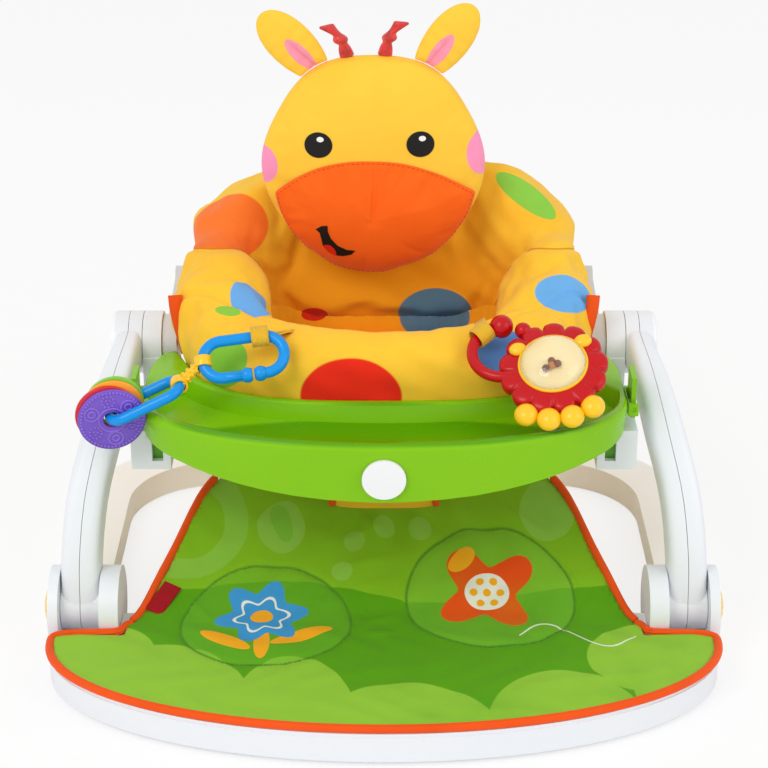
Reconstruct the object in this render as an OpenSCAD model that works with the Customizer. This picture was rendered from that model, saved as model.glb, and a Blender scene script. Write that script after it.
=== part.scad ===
// Baby floor seat with a toy tray.
// A padded seat ring hangs between two arched legs that fold down on a floor base.
// +X is to the right seen from the front, -Y is the front, +Z is up; the floor is Z = 0.

/* [Base] */
// Half width of the base plate
base_half_w = 290; // [270:1:294]
// Length of the plate's rounded nose
nose_len = 140; // [100:1:160]
// Height of the plate's top above the floor
base_h = 30; // [26:0.5:33]
// Wall of the moulded floor parts
base_wall = 3; // [2:0.5:5]
// Radius of a rubber foot
foot_r = 9; // [6:0.5:12]
// How far the feet stand out under the floor parts
foot_out = 1.5; // [1:0.25:3]
// Half width of the rear floor ring
ring_half_w = 298; // [292:1:300]
// Width of the rear floor ring's band
ring_band = 46; // [36:1:60]
// Distance from the lower hub axis to the back of the floor ring
ring_depth = 358; // [320:1:380]

/* [Lower hubs] */
// Distance of the lower hub axis in front of the seat's middle
hub_front = 79; // [60:1:95]
// Height of the lower hub axis
hub_z = 38; // [37:0.5:44]
// Radius of a lower hub
hub_r = 36; // [32:0.5:36]
// Inner face of a lower hub, from the middle plane
hub_in = 233; // [226:1:238]
// Thickness of the inner ear
ear_in_t = 17; // [10:1:20]
// Thickness of the outer ear
ear_out_t = 9; // [8:0.5:12]
// Radius of the lower hub pin
low_pin_r = 6; // [4:0.5:8]
// Radius of the fold button
button_r = 23; // [18:0.5:26]
// How far the fold button's dome stands out
button_dome = 7; // [5:0.5:9]
// Travel of the fold button
button_travel = 4; // [2:0.5:4.5]

/* [Legs] */
// Height of the upper hub axis above the lower one
leg_rise = 183; // [165:1:195]
// Distance of the upper hub axis behind the lower one
leg_run = 170; // [155:1:185]
// Width of a leg across the seat, at its foot
leg_w = 35; // [30:1:38]
// Depth of a leg, front to back
leg_t = 38; // [32:1:40]
// Radius of the leg's rounded foot
leg_foot_r = 21; // [20:0.5:23]
// Wall of the leg shells
leg_wall = 3; // [2:0.5:5]
// Width of the leg's upper eye
eye_w = 25; // [20:1:28]

/* [Upper hubs] */
// Radius of an upper hub
top_r = 29; // [26:0.5:32]
// Radius of the upper hub pin
top_pin_r = 8; // [6:0.5:10]
// Width of the side frame's collar
collar_w = 17.5; // [14:0.5:20]
// Width of the backrest's eye
back_eye_w = 13; // [10:0.5:14]
// Radius of the backrest's eye
back_eye_r = 26; // [22:0.5:27]
// Thickness of the cap on the upper hub
cap_t = 3.5; // [2:0.5:5]

/* [Ring frame] */
// Height of the ring frame's underside
frame_z = 184; // [180:1:188]
// Thickness of the ring frame
frame_t = 10; // [6:0.5:12]
// Half width of the ring frame
frame_half_w = 152; // [148:1:156]
// Width of the ring frame's band
frame_band = 24; // [18:1:28]
// Front of the ring frame, ahead of the seat's middle
frame_front = 32; // [28:1:36]
// Rear of the ring frame, behind the seat's middle
frame_back = 190; // [184:1:196]

/* [Tray] */
// Height of the tray's rim
rim_z = 228; // [224:1:232]
// Half width of the tray; the upper hubs and the arms follow it
tray_half_w = 211; // [206:1:212]
// Room between the tray's side and the inner face of a leg's upper eye
eye_room = 11; // [11:0.5:14]
// Distance of the tray's front edge ahead of the seat's middle
tray_front = 148; // [135:1:160]
// Height of the tray's front apron
apron_h = 54; // [40:1:58]
// Height of the apron at the sides
apron_side_h = 27; // [20:1:27]
// Depth of the well
well_depth = 16; // [8:1:19]
// Wall of the tray
tray_wall = 3; // [2:0.5:4]
// Radius of the round badge
badge_r = 18.5; // [12:0.5:20]
// How deep a tray post goes into its socket
post_depth = 30; // [20:1:33]

/* [Padding] */
// Height of the bumper's top
bumper_top = 278; // [265:1:282]
// How much higher the left arm is than the bumper
arm_rise_left = 25; // [0:1:27]
// How much higher the right arm is than the bumper
arm_rise_right = 10; // [0:1:27]
// Thickness of the back pad
back_t = 22; // [14:1:26]
// How far the left shoulder stands out of the back pad
shoulder_left = 56; // [20:1:58]
// How far the right shoulder stands out of the back pad
shoulder_right = 42; // [20:1:58]
// Half width of the back pad
back_half_w = 184; // [170:1:188]
// Gap between the ring frame and the back pad's lower edge
back_gap = 3; // [2:0.5:8]
// Height of the back pad
back_h = 168; // [150:1:176]
// Lean of the backrest
back_lean = 9; // [5:0.5:12]
// Radius of the back hoop's tube
hoop_r = 7; // [5:0.5:8]
// Thickness of the mat
mat_t = 4; // [2:0.5:6]
// Radius of the piping
piping_r = 3; // [2:0.25:3.5]

/* [Head] */
// Mean radius of the head
head_r = 103; // [90:1:108]
// Half thickness of the head
head_t = 26; // [18:1:28]
// Height of the head's middle
head_z = 372; // [366:1:380]
// How far the head is shifted to the left
head_shift = 10; // [0:1:15]
// How far the muzzle stands out of the face
muzzle_t = 16; // [8:1:20]
// Length of an ear
ear_len = 84; // [70:1:90]
// Width of an ear
ear_w = 41; // [30:1:46]

/* [Toys] */
// Radius of the rattle's mane
mane_r = 43; // [36:1:45]
// Thickness of the rattle's mane
mane_t = 14; // [10:1:16]
// Radius of the rattle's clear dome
dome_r = 27; // [22:1:30]
// Radius of the rattle's open ring
grip_r = 27; // [22:1:28]
// Radius of the rattle's round bar
grip_bar_r = 4.5; // [3:0.25:5]
// Radius of the play discs
disc_r = 30; // [24:1:31]
// Thickness of a play disc
disc_t = 2.6; // [2:0.1:2.8]
// Radius of the links' bar
link_bar_r = 4; // [3:0.25:4.5]
// Width of a webbing loop
web_w = 16; // [10:1:18]

/* [Hidden] */
$fn = 64;

// Clearances
run_gap = 0.05;   // radial gap of a turning pin
side_gap = 0.5;   // gap beside a turning part
fit_gap = 0.3;    // gap round a sliding or dropped-in part
soft_gap = 0.4;   // gap between a soft part and its neighbour

// Lower hub stations across the seat, from the middle plane outwards
hub_y = -hub_front;
slot_in = hub_in + ear_in_t;
slot_out = slot_in + leg_w + 2 * side_gap;
hub_out = slot_out + ear_out_t;
pocket_depth = button_travel + 2.5;
pocket_in = hub_out - pocket_depth;
washer_t = 1;

// Upper hub stations
eye_in = tray_half_w + eye_room;
top_y = hub_y + leg_run;
top_z = hub_z + leg_rise;
collar_out = eye_in - side_gap;
collar_in = collar_out - collar_w;
back_eye_in = collar_in - side_gap - back_eye_w;
eye_out = eye_in + eye_w;

// Leg arch: share of the run, share of the rise, share of the way inwards, width share
LEG_ARCH = [
    [0, 0, 0, 1], [0.047, 0.246, 0.02, 1], [0.165, 0.519, 0.18, 1], [0.341, 0.765, 0.53, 0.9],
    [0.559, 0.929, 0.80, 0.5], [0.794, 1.0, 0.99, 0], [1, 1, 1, 0]
];
foot_x = slot_in + side_gap + leg_w / 2;
eye_x = eye_in + eye_w / 2;

// The arms end just inside the backrest's eyes. The tables below are drawn for arms of this half
// width, and their x values are stretched to the real one.
TABLE_HALF_W = 189;
arm_half_w = back_eye_in - 1.5;
function stretch(table) = [for (p = table) [p.x * arm_half_w / TABLE_HALF_W, p.y]];

// Plan of the padded ring: outer edge and inner edge at the same stations, right half
PAD_OUT = stretch([
    [0, -51], [60, -49.5], [105, -42], [137, -26], [160, -4], [174, 26], [184, 56], [188.6, 90],
    [189, 130], [187, 160]
]);
PAD_IN = stretch([
    [0, 9], [56, 13], [86, 27], [98, 44], [103, 58], [106, 74], [108, 90], [110, 108], [111, 130],
    [113, 160]
]);
seam_station = 3;
pad_end = 9;
pad_bottom = frame_z + frame_t + soft_gap;

// Plan of the tray, right half: the front edge, and the rear edge that follows the padding
TRAY_SHARE = [0, 20, 40, 60, 75, 90];
wing_y = -57;
TRAY_FRONT = concat(
    [for (a = TRAY_SHARE) [tray_half_w * sin(a), wing_y - (tray_front + wing_y) * cos(a)]],
    [[tray_half_w, -20], [tray_half_w - 1, 18], [tray_half_w - 9, 48]]
);
tray_rear_gap = 2.5;
TRAY_REAR = stretch([
    [0, -51], [34, -50.8], [70, -48.6], [105, -42], [137, -26], [160, -4], [174, 26], [181, 44],
    [186, 56]
]);

// Ramp of the mat: front to back, [y, underside z, half width]
RAMP = [
    [-101.5, base_h + 0.4, 219], [-84, base_h + 4, 210], [-50, base_h + 20, 197],
    [-21, base_h + 36, 184], [21, base_h + 62, 166], [39, base_h + 74, 152]
];

// ---------------------------------------------------------------- helpers

function lerp(a, b, t) = a + (b - a) * t;
function unit(v) = v / norm(v);
function mean(list) = [for (v = list) 1] * list / len(list);
function reverse(list) = [for (i = [len(list) - 1 : -1 : 0]) list[i]];
function flip_x(p) = [for (i = [0 : len(p) - 1]) i == 0 ? -p[i] : p[i]];
function signed_pow(v, e) = sign(v) * pow(abs(v), e);

// Smooth curve through a list of points; t counts the points
function spline(p, t) =
    let (n = len(p) - 1, i = min(max(floor(t), 0), n - 1), f = t - i,
         a = p[max(i - 1, 0)], b = p[i], c = p[i + 1], d = p[min(i + 2, n)])
    0.5 * (2 * b + (c - a) * f + (2 * a - 5 * b + 4 * c - d) * f * f
           + (3 * b - a - 3 * c + d) * f * f * f);

// The same, for a list of values at equal angles all the way round
function round_spline(v, angle) =
    let (n = len(v), t = (angle % 360 + 360) % 360 / 360 * n, i = floor(t), f = t - i,
         a = v[(i + n - 1) % n], b = v[i % n], c = v[(i + 1) % n], d = v[(i + 2) % n])
    0.5 * (2 * b + (c - a) * f + (2 * a - 5 * b + 4 * c - d) * f * f
           + (3 * b - a - 3 * c + d) * f * f * f);

// A half table mirrored to both sides, from the left end to the right end
function both_sides(half) =
    concat([for (i = [len(half) - 1 : -1 : 1]) flip_x(half[i])], half);

// Solid through closed loops of points. Each loop runs anticlockwise seen from the far end.
// "fan" closes an end from its middle, "strip" closes it between its two long sides.
module loft(loops, ends = "fan") {
    m = len(loops);
    n = len(loops[0]);
    last = (m - 1) * n;
    sides = [for (k = [0 : m - 2], i = [0 : n - 1])
        let (a = k * n + i, b = k * n + (i + 1) % n)
        each [[b, a, a + n], [b, a + n, b + n]]];
    fan = [for (i = [0 : n - 1])
        each [[m * n, i, (i + 1) % n], [m * n + 1, last + (i + 1) % n, last + i]]];
    strip = [for (i = [0 : n / 2 - 2]) let (j = n - 1 - i)
        each [[i, i + 1, j - 1], [i, j - 1, j],
              [last + i, last + j - 1, last + i + 1], [last + i, last + j, last + j - 1]]];
    points = concat([for (r = loops) each r],
                    ends == "fan" ? [mean(loops[0]), mean(loops[m - 1])] : []);
    polyhedron(points, concat(sides, ends == "fan" ? fan : strip), convexity = 8);
}

// Stuffed form in the XY plane, thick towards +Z by front and towards -Z by back
function bulge(s, power) = pow(max(0, 1 - pow(s, power)), 1 / power);
module pillow(rim, front, back, power = 2.5) {
    shares = [0.35, 0.62, 0.82, 0.94];
    function level(s, side) = [for (p = rim) [p.x * s, p.y * s, side * bulge(s, power)]];
    loft(concat([for (s = shares) level(s, -back)], [level(1, 0)],
                [for (s = reverse(shares)) level(s, front)]));
}

// Round bar along points, as a chain of loops with a few sides
module bar(points, r, sides = 10) {
    n = len(points);
    function way(i) = unit(points[min(i + 1, n - 1)] - points[max(i - 1, 0)]);
    function beside(t) = unit(cross(abs(t.z) > 0.9 ? [0, 1, 0] : [0, 0, 1], t));
    loft([for (i = [0 : n - 1]) let (t = way(i), u = beside(t), v = cross(t, u))
        [for (k = [0 : sides - 1]) let (a = 360 * k / sides)
            points[i] + r * (cos(a) * u + sin(a) * v)]]);
}

module along_x(x0, x1, r, y = 0, z = 0) {
    translate([x0, y, z]) rotate([0, 90, 0]) cylinder(r = r, h = x1 - x0);
}

module box(low, high) {
    translate(low) cube(high - low);
}

module on_side(side) {
    if (side > 0) children();
    else mirror([1, 0, 0]) children();
}

// ---------------------------------------------------------------- base

// Half-moon outline of the floor plate, drawn in by inset
function nose(inset) = [for (a = [180 : 5 : 360])
    [(base_half_w - inset) * cos(a), nose_y + (nose_len - inset) * sin(a)]];
nose_y = hub_y - 57;
plate_back = hub_y - 0.25;

module plate_outline(inset, back) {
    polygon(concat([[-base_half_w + inset, back]], nose(inset), [[base_half_w - inset, back]]));
}

// Space that a hub and its screw lugs take out of the floor parts
lug_len = 17;
lug_t = 8;
lug_z = 12;
module hub_space() {
    along_x(hub_in - fit_gap, hub_out + 4, hub_r + fit_gap, hub_y, hub_z);
    for (way = [-1, 1]) translate([slot_in + 8, hub_y, 0]) mirror([0, way < 0 ? 1 : 0, 0])
        box([-fit_gap, 0, -1], [24 + fit_gap, hub_r + lug_len + fit_gap, lug_z + lug_t]);
}

// Places of the feet, right half; the first stands under the plate, the others under the ring
FEET = [
    [150, nose_y - nose_len * 0.62], [ring_half_w - ring_band / 2, 20],
    [ring_half_w - ring_band / 2 - 50, hub_y + ring_depth - ring_band / 2 - 12]
];
module feet(r, h) {
    for (p = FEET, side = [-1, 1]) translate([side * p.x, p.y, 0]) cylinder(r = r, h = h);
}

rib_t = 3;
rib_pitch = 56;
hollow_back = hub_y - hub_r - lug_len - 12;
module base_plate() color("whitesmoke") difference() {
    union() {
        difference() {
            union() {
                translate([0, 0, foot_out]) linear_extrude(3) plate_outline(3, plate_back);
                translate([0, 0, foot_out + 3]) linear_extrude(base_h - 6 - foot_out)
                    plate_outline(0, plate_back);
                translate([0, 0, base_h - 3]) linear_extrude(3) plate_outline(1.5, plate_back);
            }
            translate([0, 0, -1]) linear_extrude(base_h + 1 - base_wall) intersection() {
                plate_outline(base_wall + 3, plate_back);
                translate([-base_half_w, hollow_back - 300]) square([2 * base_half_w, 300]);
            }
        }
        intersection() {
            for (k = [-4.5 : 4.5]) translate([k * rib_pitch - rib_t / 2, 0, 0])
                box([0, nose_y - nose_len, foot_out + 4], [rib_t, hollow_back + 1, base_h - 1]);
            translate([0, 0, foot_out]) linear_extrude(base_h) plate_outline(2, plate_back);
        }
        for (side = [-1, 1]) translate([side * FEET[0].x, FEET[0].y, foot_out])
            cylinder(r = foot_r + 4, h = base_h - foot_out - 1);
    }
    for (side = [-1, 1]) on_side(side) {
        hub_space();
        translate([slot_in + 20, hub_y - hub_r - lug_len / 2, 0]) cylinder(r = screw_r, h = base_h - 3);
    }
    feet(foot_r, foot_out * 2);
}

module floor_ring_outline(inset) {
    w = ring_half_w - inset;
    back = hub_y + ring_depth - inset;
    r = 133 - inset;
    square_low = hub_y + 0.25;
    translate([-w, square_low]) square([2 * w, back - r - square_low]);
    translate([-w + r, square_low]) square([2 * (w - r), back - square_low]);
    for (x = [-1, 1]) translate([x * (w - r), back - r]) circle(r, $fn = 96);
}

module rear_ring() color("antiquewhite") difference() {
    union() {
        translate([0, 0, foot_out]) linear_extrude(base_h - foot_out - 4) floor_ring_outline(0);
        translate([0, 0, base_h - 4]) linear_extrude(2) floor_ring_outline(1.5);
    }
    translate([0, -1, -1]) linear_extrude(base_h + 2) floor_ring_outline(ring_band);
    for (side = [-1, 1]) on_side(side) {
        hub_space();
        translate([slot_in + 20, hub_y + hub_r + lug_len / 2, 0]) cylinder(r = screw_r, h = base_h - 5);
    }
    // hollow underside of the side runs and the back run
    for (side = [-1, 1]) on_side(side)
        box([ring_half_w - ring_band + base_wall, hub_y + hub_r + lug_len + 12, -1],
            [ring_half_w - base_wall, 0, base_h - 2 - base_wall]);
    box([-120, hub_y + ring_depth - ring_band + base_wall, -1],
        [120, hub_y + ring_depth - base_wall, base_h - 2 - base_wall]);
    feet(foot_r, foot_out * 2);
}

module rubber_feet() color("dimgray") feet(foot_r, foot_out * 2);

// ---------------------------------------------------------------- lower hubs

screw_r = 2;
screw_head_r = 4;
web_top = hub_z - leg_foot_r - 2.5;
module hub_housing(side) color("white") on_side(side) difference() {
    union() {
        along_x(hub_in, slot_in, hub_r, hub_y, hub_z);
        along_x(slot_out, hub_out, hub_r, hub_y, hub_z);
        intersection() {
            along_x(hub_in, hub_out, hub_r, hub_y, hub_z);
            box([hub_in, hub_y - hub_r, 0], [hub_out, hub_y + hub_r, web_top]);
        }
        for (way = [-1, 1]) translate([slot_in + 8, hub_y, 0]) mirror([0, way < 0 ? 1 : 0, 0])
            box([0, 14, lug_z - 8], [24, hub_r - 8, lug_z]);
        for (way = [-1, 1]) translate([slot_in + 8, hub_y, 0]) mirror([0, way < 0 ? 1 : 0, 0])
            box([0, 20, lug_z], [24, hub_r + lug_len, lug_z + lug_t - fit_gap]);
    }
    // the leg's foot turns in this slot
    along_x(slot_in, slot_out, leg_foot_r + 1.5, hub_y, hub_z);
    box([slot_in, hub_y - hub_r - 1, web_top], [slot_out, hub_y + hub_r + 1, hub_z + hub_r]);
    along_x(hub_in + 3, hub_out + 1, low_pin_r, hub_y, hub_z);
    along_x(pocket_in, hub_out + 1, button_r + fit_gap, hub_y, hub_z);
    box([hub_in - 1, hub_y - hub_r, -1], [hub_out + 1, hub_y + hub_r, foot_out + 1]);
    for (way = [-1, 1]) translate([slot_in + 20, hub_y + way * (hub_r + lug_len / 2), 0])
        cylinder(r = screw_r, h = base_h);
}

module lower_pins() color("silver") for (side = [-1, 1]) on_side(side)
    along_x(hub_in + 3.5, pocket_in - 0.2, low_pin_r, hub_y, hub_z);

module spring_washers() color("gray") for (side = [-1, 1]) on_side(side) difference() {
    along_x(pocket_in, pocket_in + washer_t, button_r - 6, hub_y, hub_z);
    along_x(pocket_in - 1, pocket_in + washer_t + 1, button_r - 11, hub_y, hub_z);
}

module housing_screws() color("silver") for (side = [-1, 1], way = [-1, 1])
    translate([side * (slot_in + 20), hub_y + way * (hub_r + lug_len / 2), 0]) {
        translate([0, 0, lug_z - 3]) cylinder(r = screw_head_r, h = 3);
        translate([0, 0, lug_z - 3]) cylinder(r = screw_r, h = base_h - lug_z - 4);
    }

button_skirt = 1.5;
button_back = pocket_in + washer_t + button_travel;
module fold_button(side) color("gold") on_side(side) translate([0, hub_y, hub_z])
    rotate([0, 90, 0]) {
    ball = (button_r * button_r + button_dome * button_dome) / (2 * button_dome);
    rotate_extrude() difference() {
        union() {
            translate([0, button_back]) square([button_r, hub_out - button_back]);
            intersection() {
                translate([0, hub_out + button_dome - ball]) circle(ball, $fn = 180);
                translate([0, hub_out - 0.01]) square([button_r, button_dome + 1]);
            }
        }
        translate([-1, button_back - 1]) square([1, 30]);
    }
}

// ---------------------------------------------------------------- mat

mat_z = base_h + 0.1;
mat_edge = piping_r + soft_gap;
hub_front_y = hub_y - hub_r - 4.5;
// Rear edge of the flat mat, right half, from the nose inwards round the hub
MAT_NOTCH = [
    [base_half_w - 3, nose_y + 8], [base_half_w - 14, hub_front_y - 3],
    [hub_in - 6, hub_front_y - 4], [hub_in - 8, hub_front_y + 11], [RAMP[0][2], RAMP[0][0] - 0.6]
];
// and how far the piping's middle stands off each of these points
PIPING_OUT = [[1, 0.6], [0.2, 1], [0.8, 1], [1, 0.3], [1, 0]] * mat_edge;
module mat_front() color("limegreen") translate([0, 0, mat_z]) linear_extrude(mat_t) polygon(concat(
    [for (p = reverse(MAT_NOTCH)) flip_x(p)], nose(mat_edge), MAT_NOTCH));

// Centre line of the piping round the flat mat
piping_end = MAT_NOTCH + PIPING_OUT;
mat_line = concat([for (p = reverse(piping_end)) flip_x(p)], nose(0), piping_end);
module mat_piping() color("orangered")
    bar([for (p = mat_line) [p.x, p.y, base_h + piping_r + 0.3]], piping_r, 8);

ramp_sag = 3;
module mat_ramp() color("yellowgreen") {
    steps = 15;
    loft([for (k = [0 : steps]) let (s = spline(RAMP, k / steps * (len(RAMP) - 1)))
        [for (c = [[-1, 0], [-0.5, 0], [0, 0], [0.5, 0], [1, 0], [1, 1], [0.5, 1], [0, 1], [-0.5, 1],
                   [-1, 1]])
            [-c.x * s[2], s[0],
             s[1] + mat_t * c.y - ramp_sag * (1 - c.x * c.x) * sin(180 * k / steps)]]], "strip");
}

module ramp_piping() color("orangered") for (side = [-1, 1]) on_side(side)
    bar([for (k = [0 : 10]) let (s = spline(RAMP, k / 10 * (len(RAMP) - 1)))
        [s[2] + mat_edge + 0.6, s[0] + (k == 0 ? 3 : 0), s[1] + mat_t / 2 + 0.8]], piping_r, 8);

module woven_tag() color("darkred")
    translate([-192, -76, base_h + 13]) rotate([25, 0, 0]) rotate([0, 0, 62])
        cube([28, 14, 1], center = true);

// ---------------------------------------------------------------- legs

function leg_at(t) =
    let (s = spline(LEG_ARCH, t * (len(LEG_ARCH) - 1)))
    [lerp(foot_x, eye_x, s[2]), hub_y + leg_run * s[0], hub_z + leg_rise * s[1],
     lerp(eye_w / 2 - side_gap, leg_w / 2, s[3])];

// One half of the leg's hollow band: half = 1 is the outer shell, -1 the inner one
module leg_band(half) {
    steps = 22;
    arc = [for (k = [-9 : 9]) k * 10];
    function edge(t, inset) = let (
        here = leg_at(t), ahead = leg_at(min(t + 0.01, 1)), behind = leg_at(max(t - 0.01, 0)),
        way = unit([0, ahead[1] - behind[1], ahead[2] - behind[2]]),
        across = [0, -way.z, way.y], deep = leg_t / 2 - inset, wide = here[3] - inset)
        [for (a = arc) [here[0], here[1], here[2]]
            + [half * (parting + (wide - parting) * signed_pow(cos(a), 0.5)), 0, 0]
            + across * deep * signed_pow(sin(a), 0.5)];
    loops = [for (k = [0 : steps]) let (t = k / steps)
        concat(edge(t, 0), reverse(edge(t, leg_wall)))];
    loft(half > 0 ? [for (r = loops) reverse(r)] : loops, "strip");
}
parting = 0.25;

module leg_shell(side, half) color("white") on_side(side) difference() {
    union() {
        leg_band(half);
        if (half > 0) {
            along_x(foot_x + parting, slot_out - side_gap, leg_foot_r, hub_y, hub_z);
            along_x(eye_x + parting, eye_out, top_r, top_y, top_z);
        } else {
            along_x(slot_in + side_gap, foot_x - parting, leg_foot_r, hub_y, hub_z);
            along_x(eye_in, eye_x - parting, top_r, top_y, top_z);
        }
    }
    along_x(slot_in, slot_out, low_pin_r + run_gap, hub_y, hub_z);
    along_x(eye_in - 1, eye_out + 1, top_pin_r + run_gap, top_y, top_z);
}

module leg_cap(side) color("ghostwhite") on_side(side) difference() {
    union() {
        along_x(eye_out, eye_out + cap_t - 1, top_r - 1, top_y, top_z);
        along_x(eye_out + cap_t - 1, eye_out + cap_t, top_r - 2.5, top_y, top_z);
    }
    box([eye_out + cap_t - 1.2, top_y + top_r - 12, top_z - 9],
        [eye_out + cap_t + 1, top_y + top_r - 10, top_z + 9]);
}

// ---------------------------------------------------------------- ring and side frames

module rounded(x0, y0, x1, y1, r_front, r_back) {
    difference() {
        translate([x0, y0]) square([x1 - x0, y1 - y0]);
        for (c = [[x0, y0, r_front, 1, 1], [x1, y0, r_front, -1, 1],
                  [x0, y1, r_back, 1, -1], [x1, y1, r_back, -1, -1]])
            translate([c[0], c[1]]) corner_cut(c[2], c[3], c[4]);
    }
}
module corner_cut(r, sx, sy) {
    mirror([sx < 0 ? 1 : 0, 0]) mirror([0, sy < 0 ? 1 : 0]) difference() {
        translate([-1, -1]) square(r + 1);
        translate([r, r]) circle(r, $fn = 96);
    }
}

cheek_in = collar_in;  // inner face of the side frame's rail
cheek_t = 12;
lug_y0 = 22;
lug_y1 = 58;
module ring_frame() color("gainsboro") difference() {
    union() {
        translate([0, 0, frame_z]) linear_extrude(frame_t) difference() {
            rounded(-frame_half_w, -frame_front, frame_half_w, frame_back, 72, 40);
            rounded(-frame_half_w + frame_band, -frame_front + frame_band,
                    frame_half_w - frame_band, frame_back - frame_band, 48, 16);
        }
        for (side = [-1, 1]) on_side(side)
            box([frame_half_w - 6, lug_y0, frame_z], [cheek_in, lug_y1, frame_z + frame_t]);
    }
    for (side = [-1, 1], y = [lug_y0 + 8, lug_y1 - 8]) on_side(side)
        along_x(cheek_in - 20, cheek_in + 1, screw_r, y, frame_z + frame_t / 2);
}

// Tray socket of a side frame
post_out = tray_half_w - 7.5;
post_in = post_out - 11.5;
bracket_in = post_in - 6;
bracket_out = cheek_in + cheek_t + 5;
bracket_front = -59;
bracket_back = -9;
bracket_low = 163;
bracket_top = rim_z - apron_side_h - 1;
post_y0 = -52;
post_y1 = -16;
module side_frame(side) color("white") on_side(side) difference() {
    union() {
        along_x(collar_in, collar_out, top_r, top_y, top_z);
        box([cheek_in, bracket_back - 2, frame_z + 2], [cheek_in + cheek_t, top_y - 18, bracket_top]);
        box([collar_in, top_y - 30, frame_z + 2], [collar_out, top_y, top_z - 4]);
        box([bracket_in, bracket_front, bracket_low], [bracket_out, bracket_back, bracket_top]);
    }
    along_x(collar_in - 1, collar_out + 1, top_pin_r, top_y, top_z);
    // socket and its front window
    box([post_in - fit_gap, post_y0 - fit_gap, bracket_top - post_depth - 1],
        [post_out + fit_gap, post_y1 + fit_gap, bracket_top + 1]);
    box([post_in + 1, bracket_front - 1, bracket_low + 8], [post_out - 1, post_y0 + 1, bracket_top - 4]);
    // the rails' lugs bolt to the inside of the cheek
    for (y = [lug_y0 + 8, lug_y1 - 8]) {
        along_x(cheek_in - 1, cheek_in + cheek_t + 1, screw_r, y, frame_z + frame_t / 2);
        along_x(cheek_in + cheek_t - 3, cheek_in + cheek_t + 1, screw_head_r + 0.2, y,
                frame_z + frame_t / 2);
    }
}

module frame_screws() color("silver")
    for (side = [-1, 1], y = [lug_y0 + 8, lug_y1 - 8]) on_side(side) {
        along_x(cheek_in - 18, cheek_in + cheek_t - 3, screw_r, y, frame_z + frame_t / 2);
        along_x(cheek_in + cheek_t - 3, cheek_in + cheek_t - 0.2, screw_head_r, y,
                frame_z + frame_t / 2);
    }

module upper_pins() color("silver") for (side = [-1, 1]) on_side(side)
    along_x(back_eye_in + 0.2, eye_out - 0.5, top_pin_r, top_y, top_z);

// ---------------------------------------------------------------- padded ring

// Cross-section loop of the padded ring at station t of its right half (negative t: left half)
function pad_loop(t, top) =
    let (out = spline(PAD_OUT, abs(t)), inn = spline(PAD_IN, abs(t)), s = t < 0 ? -1 : 1,
         mid = (out + inn) / 2, half = (out - inn) / 2,
         zc = (pad_bottom + top) / 2, zh = (top - pad_bottom) / 2)
    [for (k = [0 : 19])
        let (a = 360 * k / 20, u = signed_pow(cos(a), 0.8), v = signed_pow(sin(a), 0.72))
        [s * (mid.x + half.x * u), mid.y + half.y * u, zc - zh * v]];

// The arms rise behind the seam and end inside a circle round the upper hubs, so that the
// backrest can swing over them
seam_dip = 3;
arm_circle = 84;
function pad_y(t) = (spline(PAD_OUT, abs(t)).y + spline(PAD_IN, abs(t)).y) / 2;
function rise_share(t) = ease(abs(t), seam_station, seam_station + 4.5);
function circle_top(y) = top_z + sqrt(max(0, arm_circle * arm_circle - pow(max(0, y - top_y), 2)));
function pad_top(t, rise = 0) = min(circle_top(pad_y(t)), bumper_top + rise * rise_share(t)
    - seam_dip * exp(-pow((abs(t) - seam_station) / 0.35, 2)));

module bumper() color("gold")
    loft([for (k = [-12 : 12]) let (t = k / 12 * (seam_station - 0.02)) pad_loop(t, pad_top(t))]);

module arm_pad(side) color("goldenrod") on_side(side)
    loft([for (k = [0 : 18]) let (t = lerp(seam_station + 0.03, pad_end, k / 18))
        pad_loop(t, pad_top(t, side < 0 ? arm_rise_left : arm_rise_right))]);

module bindings() color("orangered") for (side = [-1, 1]) on_side(side)
    box([collar_in - 13.5, top_y - 33, top_z + 7], [collar_in - 11, top_y - 27, top_z + 62]);

module crotch_panel() color("orange") {
    // from under the ring frame down to the ramp, [y, z]
    line = [[-20, frame_z - 0.6], [-15, 160], [-4, 125], [5, base_h + 62]];
    wide = 47;
    thick = 2.5;
    loft([for (k = [0 : 8]) let (p = spline(line, k / 8 * 3))
        [for (c = [[1, -1], [0, -1], [-1, -1], [-1, 1], [0, 1], [1, 1]])
            [c.x * wide, p.x + c.y * thick - (1 - abs(c.x)) * 2 * sin(180 * k / 8), p.y]]], "fan");
}

// Walls of the hanging seat, open to the front: plan line, then drawn in towards the bottom
sling_top = frame_z - soft_gap;
sling_low = base_h + 24;
sling_wall = 4;
SLING = [[0, 178], [50, 177], [96, 173], [126, 158], [138, 120], [139, 80], [138, 44]];
sling_line = both_sides(SLING);
function sling_at(k) = spline(sling_line, k / sling_steps * (len(sling_line) - 1));
function sling_side(k) =
    let (w = unit(sling_at(min(k + 1, sling_steps)) - sling_at(max(k - 1, 0)))) [w.y, -w.x];
sling_steps = 30;
module seat_sling() {
    front = SLING[len(SLING) - 1].y;
    function low(p, share, z) =
        [p.x * lerp(0.80, 1, share), front + (p.y - front) * lerp(0.93, 1, share), z];
    function ring(share, z) = concat(
        [for (k = [0 : sling_steps]) low(sling_at(k) + sling_side(k) * sling_wall, share, z)],
        [for (k = [sling_steps : -1 : 0]) low(sling_at(k), share, z)]);
    color("orange") loft([for (share = [0, 0.33, 0.67, 1])
        ring(sin(90 * share), lerp(sling_low, sling_top, share))], "strip");
}

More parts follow.
